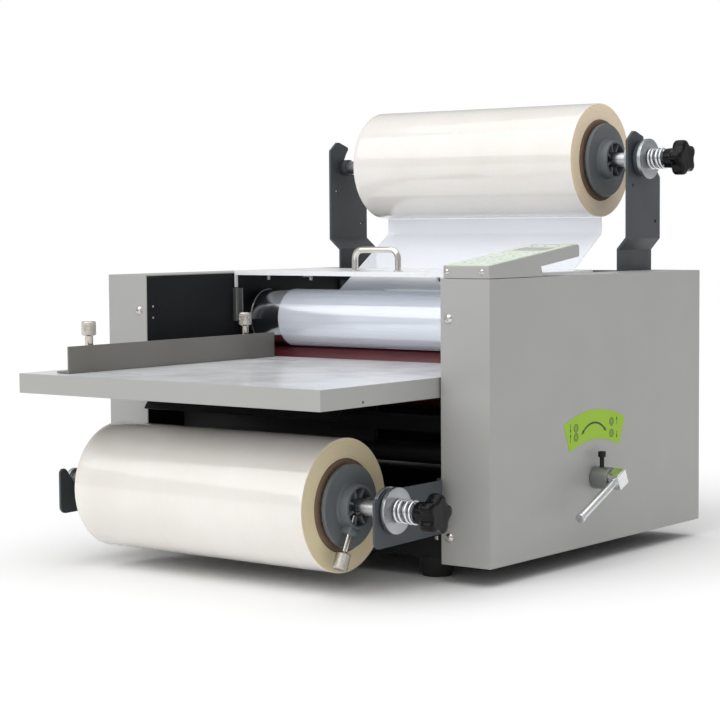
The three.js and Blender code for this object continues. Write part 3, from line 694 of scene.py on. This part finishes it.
DRESSED = [
    (("right_housing", "left_housing"), paint_grey, 1.4),
    (("panel_box",), paint_grey, 0.9),
    (("frame_plate_right", "frame_plate_left", "base_tray", "rear_panel"), paint_black, 0.5),
    (("film_guard", "table_rail_right", "table_rail_left"), paint_black, 0.4),
    (("lower_bracket_right", "lower_bracket_left"), paint_slate, 0.7),
    (("upper_bracket_right", "upper_bracket_left"), paint_slate, 0.7),
    (("roller_bearing_right", "roller_bearing_left", "drive_motor"), steel, 0.4),
    (("power_inlet", "power_switch_rocker"), phenolic, 0.35),
    (("cover_hinge_rod", "pressure_shaft"), steel, 0.0),
    # the top cover, its grey paint painted near-white as painted light
    (("top_cover",), paint_white, 0.7),
    # the feed table, its top painted lighter as painted light from above
    (("feed_table",), table_finish_lit_top, 1.2),
    (("side_guide",), guide_grey, 0.6),
    (("upper_roller_gear", "lower_roller_gear", "motor_pinion"), steel, 0.25),
    (("lower_carriage_right", "lower_carriage_left"), zinc, 0.4),
    (("film_web",), web_film, 0.0),
]
for names, finish_of, width in DRESSED:
    for node_name in names:
        dress(node_name, finish_of, width)


# ---------------------------------------------------------------- film reels
def star_outline(outer, inner, lobes, turn, sides=120):
    middle, swing = (outer + inner) / 2, (outer - inner) / 2
    out = []
    for i in range(sides):
        a = TAU * i / sides
        wave = math.cos(lobes * (a - turn))
        r = middle + swing * math.copysign(abs(wave) ** 0.8, wave)
        out.append((r * math.cos(a), r * math.sin(a)))
    return out


def star_knob(length, hub_length, turn):
    """Phenolic star knob from its hub end at local Z = 0."""
    hub = lathe(softened([(0, 8.4), (0, 11.0), (hub_length * 0.5, 11.4), (hub_length + 1, 12.2),
                          (hub_length + 1, 8.4)], 0.8, ring=True), 72, ring=True)
    star = star_outline(20.4, 15.6, 5, turn)
    start, end = hub_length - 0.5, length
    levels = [(start, 0.80), (start + 1.2, 0.92), (start + 3.0, 0.985), (start + 5.0, 1.0),
              (end - 3.6, 1.0), (end - 1.8, 0.975), (end - 0.7, 0.92), (end - 0.15, 0.84),
              (end, 0.72), (end - 0.35, 0.5)]
    return joined(hub, skin([[(x * size, y * size, z) for x, y in star] for z, size in levels]))


def chuck_body(sign):
    """Core chuck from the roll's end (local Z = 0) outwards, mirrored by sign."""
    bore, hub_wall, inner = 8.3, 19.0, 12.5
    outer = [(-18, 36.2), (-16.5, 37.4), (4.3, 37.5), (4.35, 41.6), (4.9, 42.3), (8.3, 42.25),
             (8.9, 41.7), (9.0, 40.8), (9.0, 24.6), (9.5, 23.4), (10.6, 22.9), (20.2, 22.2),
             (20.8, 21.9), (21.0, 21.2), (21.0, hub_wall + 0.4), (20.6, hub_wall),
             (10.0, hub_wall), (10.0, inner), (12.6, inner), (13.0, inner - 0.4),
             (13.0, bore + 0.4), (12.6, bore), (-18, bore)]
    body = lathe(softened(outer, 0.2, 2, ring=True), 120, ring=True)
    parts = [body]
    ribs, teeth = 8, 24
    web = [(9.4, 9.5), (hub_wall + 0.8, 9.5), (hub_wall + 0.8, 20.0), (9.4, 18.6)]
    rib = prism(web, -0.9, 0.9, 0.25)
    stand = Matrix(((1, 0, 0, 0), (0, 0, -1, 0), (0, 1, 0, 0), (0, 0, 0, 1)))
    tooth = prism(rounded_rect(1.6, 2.2, 0.5, 2, (37.9, 0)), -1.0, 4.6, 0.2)
    for i in range(ribs):
        parts.append(moved(rib, Matrix.Rotation(TAU * (i + 0.5) / ribs, 4, "Z") @ stand))
    for i in range(teeth):
        parts.append(moved(tooth, Matrix.Rotation(TAU * i / teeth, 4, "Z")))
    return moved(joined(*parts), Matrix.Diagonal((1, 1, sign, 1)))


SEAM = 0.00001                            # metres, joins the shapes of a wound roll
CORE_BORE, CORE_R, FILM_BORE = 38.5, 46.9, 47.2


def film_roll(name, low, high, y, z, radius, end_colour):
    """Wound film: glossy outside with a few proud layers, ends with fine steps."""
    end_steps, wall_steps, sides = 34, 60, 180
    wobble = [0.16 * math.sin(2.3 * k) * math.sin(0.9 * k + 1.1) for k in range(end_steps + 1)]
    right = [(high.x - 0.25 + wobble[k], FILM_BORE + (radius - 0.5 - FILM_BORE) * k / end_steps)
             for k in range(end_steps + 1)]
    left = [(low.x + 0.25 - wobble[k], step[1]) for k, step in enumerate(right)]
    outside = []
    for k in range(wall_steps + 1):
        t = k / wall_steps
        swell = 0.10 * math.sin(9.0 * t + 0.6) + 0.06 * math.sin(31.0 * t)
        outside.append((low.x + 0.8 + (high.x - low.x - 1.6) * t, radius - 0.12 + swell * 0.6))
    wall = lathe([left[-1], (low.x + 0.3, radius - 0.25)] + outside
                 + [(high.x - 0.3, radius - 0.25), right[-1]], sides)
    ends = [lathe(profile, sides) for profile in (left, right, [left[0], right[0]])]
    seat = across(y, z)
    row = to_row((0, y, z))
    outside_film = film_outside(f"{name}_outside")
    return (placed([wall], seat) + placed(ends, seat, 1),
            [outside_film, film_edge(f"{name}_edge", row.y, row.z, end_colour)])


SPINDLE_R, SPINDLE_BORE, BRAKE_R, PAD_R = 8.0, 7.9, 23.0, 20.0
THUMB_R = 7.8                             # knurled heads of all thumbscrews
SPINDLE_LEFT, SPINDLE_PAST = -222.5, 20   # left end, and how far it reaches into the knob
BRACKET_IN, BRACKET_OUT = 212, 217        # X of the right bracket's two faces
CLAMP_OUT = 15                            # clamp screw's X, out from the roll's end


def build_reel(reel, knob_turn, end_colour):
    body = f"{reel}_reel"
    low, high, (_, y, z) = measured(f"{reel}_film_roll")
    seat = across(y, z)
    shapes, materials = film_roll(f"{reel}_film", low, high, y, z, (high.z - low.z) / 2,
                                  end_colour)
    roll = piece(f"{reel}_wound_film", shapes, body, materials, [f"{reel}_film_roll"])
    turn_outwards(roll.data, SEAM)
    roll.data.set_sharp_from_angle(angle=math.radians(CREASE))

    core_low, core_high = span(f"{reel}_core")
    core = turned_ring(CORE_BORE, CORE_R, core_low.x, core_high.x, 0.5, 144)
    piece(f"{reel}_card_core", placed([core], seat), body, [card], [f"{reel}_core"])

    radial = Vector(joint_named(f"{reel}_clamp_turn")["axis"]).normalized()
    foot = aim((high.x + CLAMP_OUT, y, z), radial, (1, 0, 0))
    for side, end, sign in (("right", high.x, 1), ("left", low.x, -1)):
        shapes = placed([chuck_body(sign)], across(y, z, end))
        if side == "right":
            boss = prism(rounded_rect(11.0, 12.0, 1.2, 5, (0, -1.0)), 20.0, 29.0, 0.6)
            shapes += placed([boss], foot)
        piece(f"{reel}_core_chuck_{side}", shapes, body, [nylon],
              [f"{reel}_chuck_{side}"], 38)

    shank = rod(3.0, 9.5, 50.0, 0.4, 40)
    neck = lathe(softened([(46.6, 0), (46.6, 3.4), (48.0, 5.0), (48.7, 6.2), (48.7, 0)], 0.3), 48)
    head = knurled_head(THUMB_R, 48.5, 65.0)
    piece(f"{reel}_clamp_thumbscrew", placed((shank, neck, head), foot), f"{reel}_clamp",
          [nickel], [f"{reel}_clamp_screw"])

    spring_low, spring_high = span(f"{reel}_spring")
    knob_low, knob_high = span(f"{reel}_tension_knob")
    disc = spring_low.x - 4.8
    shaft = [rod(SPINDLE_R, SPINDLE_LEFT, knob_low.x + SPINDLE_PAST, 0.5),
             turned_ring(SPINDLE_BORE, 12.0, -227, -222, 0.5, 72)]
    bright = [turned_ring(SPINDLE_BORE, BRAKE_R, 207, 211, 0.35, 128),
              turned_ring(SPINDLE_BORE, BRAKE_R, disc, disc + 4.5, 0.35, 128),
              turned_ring(SPINDLE_BORE, 12.6, disc + 4.3, disc + 4.9, 0.2, 96)]
    pads = [turned_ring(SPINDLE_BORE, 10.0, -215, -208, 0.5, 72),
            turned_ring(SPINDLE_BORE, PAD_R, 210.9, BRACKET_IN + 0.2, 0.3, 96)]
    if disc > BRACKET_OUT + 0.5:
        pads.append(turned_ring(SPINDLE_BORE, PAD_R, BRACKET_OUT, disc + 0.1, 0.3, 96))
    piece(f"{reel}_mandrel", placed(shaft, seat) + placed(bright, seat, 1) + placed(pads, seat, 2),
          body, [spindle_steel, zinc, paint_slate], [f"{reel}_spindle"])
    wire = 1.5
    spring = coil(spring_low.x, spring_high.x, 12.3 - wire, wire, 2.0)
    piece(f"{reel}_brake_spring", placed([spring], seat), body, [lever_bright],
          [f"{reel}_spring"])
    knob = star_knob(knob_high.x - knob_low.x, 12.0, knob_turn)
    piece(f"{reel}_star_knob", placed([knob], across(y, z, knob_low.x)), f"{reel}_knob",
          [phenolic], [f"{reel}_tension_knob"], 50)


# the lower reel's film ends are painted darker than the upper's, as painted shade from the table
# above them
build_reel("lower", math.radians(8), (0.82, 0.70, 0.46))
build_reel("upper", math.radians(32), (0.97, 0.79, 0.57))

# ---------------------------------------------------------------- rollers and bars
low, high, (_, ROLL_Y, ROLL_Z) = measured("upper_roller")
ROLL_R, ROLL_X, AXLE_R = (high.z - low.z) / 2, 192.0, 9.0


def journal_roller(radius, x_end, low_x, high_x):
    profile = [(low_x, 0), (low_x, AXLE_R), (-x_end - 4, AXLE_R), (-x_end - 4, AXLE_R + 4),
               (-x_end, AXLE_R + 4), (-x_end, radius), (x_end, radius), (x_end, AXLE_R + 4),
               (x_end + 4, AXLE_R + 4), (x_end + 4, AXLE_R), (high_x, AXLE_R), (high_x, 0)]
    return lathe(softened(profile, 0.9, 4), 192)


polished = journal_roller(ROLL_R, ROLL_X, low.x, high.x)
piece("polished_roller", placed([polished], across(ROLL_Y, ROLL_Z)), "upper_roller",
      [roller_chrome], ["upper_roller"])
low, high, (_, _, LOWER_Z) = measured("lower_roller_shaft")
seat = across(ROLL_Y, LOWER_Z)
core = journal_roller((high.z - low.z) / 2, ROLL_X, low.x, high.x)
piece("lower_roller_core", placed([core], seat), "lower_roller", [chrome],
      ["lower_roller_shaft"])
low, high = span("lower_roller_sleeve")
sleeve = turned_ring(ROLL_R - 4.4, (high.z - low.z) / 2, low.x, high.x, 0.8, 192)
piece("lower_roller_cover", placed([sleeve], seat), "lower_roller", [silicone],
      ["lower_roller_sleeve"])

for bar, bar_finish in (("rear", chrome), ("lower", paint_black)):
    low, high, (_, y, z) = measured(f"{bar}_idler_bar")
    bar_shape = rod((high.z - low.z) / 2, low.x, high.x, 0.5, 72)
    piece(f"{bar}_guide_bar", placed([bar_shape], across(y, z)), "root",
          [bar_finish], [f"{bar}_idler_bar"])

# ---------------------------------------------------------------- cover handle, feet
low, high, (_, y, _) = measured("cover_handle")
r = (high.y - low.y) / 2
left_x, right_x, top_z = low.x + r, high.x - r, high.z - r
path = rounded_path([(left_x, y, low.z), (left_x, y, top_z), (right_x, y, top_z),
                     (right_x, y, low.z)], 11.5, 16)
washer = turned_ring(r - 0.3, r + 2.0, 0, 0.9, 0.3, 48)
shapes = [(tube(path, r, 40), 0)]
for x_at in (left_x, right_x):
    shapes += placed([washer], Matrix.Translation((x_at, y, low.z)))
piece("cover_grip", shapes, "top_cover", [handle_chrome], ["cover_handle"])

for node_name in ("front_foot_right", "front_foot_left", "rear_foot_right", "rear_foot_left"):
    low, high, (x, y, _) = measured(node_name)
    profile = softened([(low.z, 0), (low.z, 4.0), (low.z + 3.0, 4.4), (low.z + 3.0, 7.0),
                        (low.z, 8.6), (low.z, 15.3), (high.z - 2.2, 19.2), (high.z, 19.5),
                        (high.z, 0)], 0.7)
    piece(f"rubber_{node_name}", placed([lathe(profile, 96)], Matrix.Translation((x, y, 0))),
          "root", [rubber], [node_name])

# ---------------------------------------------------------------- side guide screws
for place in ("front", "rear"):
    low, high, (x, y, _) = measured(f"guide_screw_{place}")
    seat = Matrix.Translation((x, y, 0))
    shank = lathe(softened([(178, 0), (178, 2.4), (192.9, 2.4), (192.9, 4.5), (228.4, 4.5),
                            (229.2, 6.0), (229.2, 0)], 0.3), 56)
    head = knurled_head(THUMB_R, 229.0, high.z)
    piece(f"guide_thumbscrew_{place}", placed((shank, head), seat), f"guide_screw_{place}",
          [nickel], [f"guide_screw_{place}"])
    nut = prism(circle(4.6, 6), 180.2, 184.4, 0.5)
    piece(f"guide_nut_{place}", placed([nut], seat), "side_guide", [zinc])

# ---------------------------------------------------------------- pressure lever
LEVER_TILT = math.radians(24)
LEVER_X, LEVER_REACH = 292.0, 83.0
SHAFT_Z = 72.5                            # axis of the pressure shaft
HUB_IN, HUB_OUT, LOCK_X = 285.0, 299.6, 273.0
seat = across(ROLL_Y, SHAFT_Z)
boss = turned_ring(7.8, 12.0, HOUSING_OUTER_X + 0.6, HUB_IN + 0.2, 0.9, 96)
hub = prism(rounded_rect(17.6, 17.6, 1.6, 5), HUB_IN, HUB_OUT, 1.0)
tilt = Matrix.Translation((0, ROLL_Y, SHAFT_Z)) @ Matrix.Rotation(LEVER_TILT, 4, "X") \
    @ Matrix.Translation((0, -ROLL_Y, -SHAFT_Z))
arm_way = Vector((0, -math.cos(LEVER_TILT), -math.sin(LEVER_TILT)))
arm_seat = aim((LEVER_X, ROLL_Y, SHAFT_Z), arm_way, (1, 0, 0))
arm = rod(4.4, 7.0, LEVER_REACH - 2.6, 0.4, 56)
cap = rod(5.4, LEVER_REACH - 3.4, LEVER_REACH, 0.7, 56)
nut_ring = rod(5.6, 8.6, 10.2, 0.4, 48)
lock_shank = rod(2.5, 82, 95.5, 0.3, 36)
lock_head = lathe(softened([(95, 0), (95, 4.25), (101, 4.25), (101, 2.6), (98, 2.3), (98, 0)],
                           0.35), 48)
piece("lever_boss", placed([boss], seat), "pressure_lever", [lever_steel],
      ["pressure_lever"])
piece("lever_hub", placed([moved(hub, seat)], tilt), "pressure_lever", [lever_bright])
piece("lever_arm", placed((arm, cap, nut_ring), arm_seat), "pressure_lever",
      [lever_bright])
piece("lever_lock_screw",
      placed((lock_shank, lock_head), Matrix.Translation((LOCK_X, ROLL_Y, 0))),
      "pressure_lever", [black_oxide])


# ---------------------------------------------------------------- label with the lever's two ends
def band(cy, cz, r0, r1, a0, a1, steps=32):
    """Outline of an arc band in (Y, Z), angles in degrees from +Z towards +Y."""
    out = []
    for r, start, end in ((r0, a0, a1), (r1, a1, a0)):
        for i in range(steps + 1):
            a = math.radians(start + (end - start) * i / steps)
            out.append((cy + r * math.sin(a), cz + r * math.cos(a)))
    return out


def on_side(outline, x0, x1, chamfer=0.0):
    return moved(prism(outline, x0, x1, chamfer), across(0, 0))


LABEL_TOP = HOUSING_OUTER_X + 0.28
PRINT_LOW, PRINT_TOP = LABEL_TOP - 0.1, HOUSING_OUTER_X + 0.36
PRINT_Z = 123.6                           # height between the two wheels of each print
label = band(200, -19.5, 133, 165, -22.3, 22.3)
prints = []
for cy, gap in ((161.6, 4.85), (234.4, 6.3)):        # wheels closed, then apart
    for side in (-1, 1):
        cz = PRINT_Z + side * gap
        for outer_r, inner_r in ((4.5, 3.7), (2.8, 2.1)):
            wheel = turned_ring(inner_r, outer_r, PRINT_LOW, PRINT_TOP, 0.02, 40)
            prints.append(moved(wheel, across(cy, cz)))
        prints.append(moved(rod(0.7, PRINT_LOW, PRINT_TOP, 0.02, 20), across(cy, cz)))


def arrow(points, width, head, x0, x1):
    """Flat line with an arrow head at its end."""
    shapes = []
    for (ay, az), (by, bz) in zip(points, points[1:]):
        d = Vector((by - ay, bz - az)).normalized()
        n = Vector((-d.y, d.x)) * width / 2
        shapes.append(on_side([(ay - n.x, az - n.y), (by - n.x, bz - n.y), (by + n.x, bz + n.y),
                               (ay + n.x, az + n.y)], x0, x1))
    (ay, az), (by, bz) = points[-2:]
    d = Vector((by - ay, bz - az)).normalized()
    n = Vector((-d.y, d.x)) * head / 2
    tip = Vector((by, bz)) + d * head * 1.3
    shapes.append(on_side([(by - n.x, bz - n.y), tuple(tip), (by + n.x, bz + n.y)], x0, x1))
    return shapes


for y_at, a, b in ((150.5, 134.0, 127.6), (150.5, 113.6, 120.0), (245.4, 126.4, 131.5),
                   (245.4, 118.6, 114.4)):
    prints += arrow([(y_at, a), (y_at, b)], 0.7, 2.8, PRINT_LOW, PRINT_TOP)
arc_points = [(198.0 + 33.0 * math.sin(a), 98.6 + 33.0 * math.cos(a))
              for a in (math.radians(-40 + 80 * i / 20) for i in range(21))]
middle = len(arc_points) // 2
for half in (arc_points[middle:], arc_points[middle::-1]):
    prints += arrow(half, 2.1, 4.4, PRINT_LOW, PRINT_TOP)
piece("pressure_label", [(on_side(label, HOUSING_OUTER_X - 0.05, LABEL_TOP, 0.08), 0)]
      + [(s, 1) for s in prints], "root", [label_green, label_print])

# ---------------------------------------------------------------- control panel overlay
PANEL_X, PANEL_LOW, PANEL_HIGH, PANEL_DEPTH = 234.0, 302.7, 322.7, 166.7
slope = math.atan2(PANEL_HIGH - PANEL_LOW, PANEL_DEPTH)
panel_seat = Matrix.Translation((PANEL_X, 0.0, PANEL_LOW)) @ Matrix.Rotation(slope, 4, "X")
overlay = prism(rounded_rect(54.5, 158.0, 3.0, 6, (0, 82.5)), -0.05, 0.3, 0.1)
keys, bars = [], []
for row, key_y in enumerate((20.0, 44.0, 68.0, 92.0)):
    for key_x in (-14.0, 14.0):
        keys.append(prism([(key_x + 8.5 * x, key_y + 6.0 * y) for x, y in circle(1.0, 36)],
                          0.2, 0.75, 0.22))
        mark_r = 3.2 - row * 0.3
        bars.append(prism([(key_x + mark_r * math.cos(TAU * i / 3 + row),
                            key_y + mark_r * math.sin(TAU * i / 3 + row)) for i in range(3)],
                          0.7, 0.82))
bars.append(prism(rounded_rect(40.0, 24.0, 2.0, 5, (0, 128)), 0.2, 0.5, 0.1))
for lamp_x in (-16.0, 0.0, 16.0):
    bars.append(prism(circle(1.6, 24, (lamp_x, 150.0)), 0.2, 0.7, 0.2))
piece("panel_overlay", placed([overlay], panel_seat) + placed(keys, panel_seat, 1)
      + placed(bars, panel_seat, 2), "root",
      [overlay_green, overlay_key, overlay_grey])

# ---------------------------------------------------------------- fasteners
FRONT, RIGHT, LEFT, REAR = (0, -1, 0), (1, 0, 0), (-1, 0, 0), (0, 1, 0)
REAR_Y, REAR_PANEL_Y = 433.0, 431.0       # rear faces of the housings and of the panel between
PLATE_X = 204.6                           # inner faces of the frame plates
STUD_Y, TRAY_Y, BRACKET_FACE_X = 155.6, 16.0, 201.1


def screws(name, places, body, radius, height):
    """Cross-head screws: places are (point, facing) pairs."""
    shapes = []
    for number, (point, facing) in enumerate(places):
        spin = Matrix.Rotation(math.radians(17 + 41 * number), 4, "Z")
        shapes += placed([dome_screw(radius, height)], aim(point, facing) @ spin)
    piece(name, shapes, body, [screw_metal])


screws("housing_screws_front",
       [((x, 0, z), FRONT) for x in (213.8, -216.0) for z in (249.8, 27.5)], "root", 4.8, 2.3)
screws("housing_screws_rear",
       [((x, REAR_Y, z), REAR) for x in (214.0, -214.0, 254.0, -254.0) for z in (264, 27.5)],
       "root", 4.0, 2.0)
screws("panel_screws", [((x, 0, 297.0), FRONT) for x in (212.0, 254.6)], "root", 3.0, 1.5)
screws("plate_screws_left", [((-PLATE_X, 11, z), RIGHT) for z in (254, 241)], "root", 1.3, 0.7)
screws("plate_screws_right", [((PLATE_X, 11, z), LEFT) for z in (254, 241)], "root", 1.3, 0.7)
screws("tray_screws", [((x, TRAY_Y, 23.2), FRONT) for x in (186.9, -186.9)], "root", 2.6, 1.3)
studs = []
for x in (-154.7, -90.8, 90.8, 154.7):
    seat = Matrix.Translation((x, STUD_Y, 0))
    nut = prism(circle(3.4, 6), 286.6, 290.1, 0.4)
    stem = lathe(softened([(281.4, 0), (281.4, 1.9), (287, 2.0), (287, 0)], 0.7), 32)
    studs += placed((nut, stem), seat)
piece("cover_studs", studs, "top_cover", [zinc])
screws("lower_bracket_screws",
       [((s * BRACKET_FACE_X, y, z), (-s, 0, 0)) for s in (1, -1)
        for y, z in ((14, 76), (14, 45), (36, 60))],
       "root", 3.2, 1.5)
screws("rear_panel_screws",
       [((x, REAR_PANEL_Y, z), REAR) for x in (-190, -64, 64, 190) for z in (16, 174)],
       "root", 3.2, 1.5)


# ---------------------------------------------------------------- small parts by the rollers
SIDES = (("left", -1), ("right", 1))
REST_Z = (232, 271)                       # the cover's rests, small channels on the plates
for side, sign in SIDES:
    channel_x = sign * (PLATE_X - 0.2)
    web = plate(sorted((channel_x, channel_x - sign * 1.2)), (148.2, 159.8), REST_Z, 0.3, 0.2)
    lips = [plate(sorted((channel_x, channel_x - sign * 5.5)), lip_y, REST_Z, 0.3, 0.2)
            for lip_y in ((147.8, 149.0), (159.0, 160.2))]
    piece(f"cover_rest_{side}", [(s, 0) for s in [web] + lips], "root", [lever_steel])

end_ring = turned_ring(28.0, 33.5, 0, 2.1, 0.6, 160)
shapes = []
for x_at in (-194.5, 192.4):
    shapes += placed([end_ring], across(ROLL_Y, ROLL_Z, x_at))
piece("roller_end_rings", shapes, "upper_roller", [handle_chrome])
collar = turned_ring(15.5, 21.5, -0.2, 3.0, 0.5, 96)
for side, sign in SIDES:
    at_x = sign * 197.3 - (3.0 if sign > 0 else 0.0)
    piece(f"bearing_collar_{side}", placed([collar], across(ROLL_Y, ROLL_Z, at_x)), "root",
          [handle_chrome])

# louvres and a blank plate on the rear
louvres = []
for row in range(7):
    z_at = 150 + row * 13.0
    fin = [(REAR_Y, z_at - 4.2), (REAR_Y + 2.6, z_at - 3.4), (REAR_Y + 3.0, z_at - 2.6),
           (REAR_Y + 0.4, z_at + 3.4), (REAR_Y, z_at + 3.4)]
    louvres.append(on_side(fin, 217.0, 251.0, 0.25))
piece("rear_louvres_right", [(s, 0) for s in louvres], "root", [paint_grey])
blank = prism(rounded_rect(34, 46, 2.0, 5), 0, 1.2, 0.3)
BLANK_X, BLANK_Z = -234, 76
piece("rear_blank_plate", placed([blank], aim((BLANK_X, REAR_Y, BLANK_Z), REAR)), "root",
      [paint_grey])
screws("rear_blank_screws",
       [((BLANK_X + dx, REAR_Y + 1.1, BLANK_Z + dz), REAR) for dx in (-13, 13)
        for dz in (-19, 19)],
       "root", 2.0, 1.0)

# ---------------------------------------------------------------- floor, lights, camera
SKY_FILL = 0.50                          # light from all round, beside the white backdrop
FLOOR_HALF = 6.0
floor_mesh = bpy.data.meshes.new("floor")
floor_mesh.from_pydata([(x * FLOOR_HALF, y * FLOOR_HALF, CAD_BOX[0][2])
                        for x, y in ((-1, -1), (1, -1), (1, 1), (-1, 1))], [], [(0, 1, 2, 3)])
floor = add_object("floor", floor_mesh)
floor_finish = Graph("floor")
floor_tone = floor_finish.noise(floor_finish.coords(), 3.0, 3.0)
floor_colour = floor_finish.mix(floor_finish.ramp(floor_tone, 0, 1), (0.955, 0.955, 0.955, 1),
                                (0.965, 0.965, 0.965, 1))
floor_mesh.materials.append(floor_finish.shader(floor_colour, 0.75, None))

world = bpy.data.worlds.new("studio")
world.use_nodes = True
sky = world.node_tree
around = sky.nodes["Background"]
backdrop = sky.nodes.new("ShaderNodeBackground")
for node, strength in ((around, SKY_FILL), (backdrop, 1.0)):
    node.inputs["Color"].default_value = (1.0, 1.0, 1.0, 1.0)
    node.inputs["Strength"].default_value = strength
rays = sky.nodes.new("ShaderNodeLightPath")
either = sky.nodes.new("ShaderNodeMixShader")
sky.links.new(rays.outputs["Is Camera Ray"], either.inputs[0])
sky.links.new(around.outputs[0], either.inputs[1])
sky.links.new(backdrop.outputs[0], either.inputs[2])
sky.links.new(either.outputs[0], sky.nodes["World Output"].inputs["Surface"])
SCENE.world = world
SCENE.view_settings.view_transform = "Standard"
SCENE.view_settings.look = "None"


def soft_sun(name, azimuth, elevation, spread, strength, colour=(1, 1, 1)):
    """Even, far light. Azimuth from +X towards +Y and elevation say where it comes from."""
    data = bpy.data.lights.new(name, "SUN")
    data.angle = math.radians(spread)
    data.energy = strength
    data.color = colour
    light = add_object(name, data)
    a, e = math.radians(azimuth), math.radians(elevation)
    source = Vector((math.cos(a) * math.cos(e), math.sin(a) * math.cos(e), math.sin(e)))
    light.matrix_world = aim(source * 3.0, source)


soft_sun("top_light", -70, 80, 80, 1.30)
soft_sun("front_light", -110, 38, 60, 1.15)

camera_data = bpy.data.cameras.new("camera")
camera_data.lens = 100.892
camera_data.sensor_width = 36.0
camera_data.clip_end = 50.0
camera = add_object("camera", camera_data)
YAW, PITCH, ROLL = math.radians(37.81), math.radians(3.791), math.radians(-0.409)
CAMERA_AT = (1.36845, -1.78551, 0.36274)
ahead = Vector((-math.sin(YAW) * math.cos(PITCH), math.cos(YAW) * math.cos(PITCH),
                -math.sin(PITCH)))
level = Vector((math.cos(YAW), math.sin(YAW), 0))
above = level.cross(ahead)
camera_x = level * math.cos(ROLL) + above * math.sin(ROLL)
camera_y = above * math.cos(ROLL) - level * math.sin(ROLL)
camera.matrix_world = Matrix.Translation(CAMERA_AT) \
    @ Matrix((camera_x, camera_y, -ahead)).transposed().to_4x4()
SCENE.camera = camera
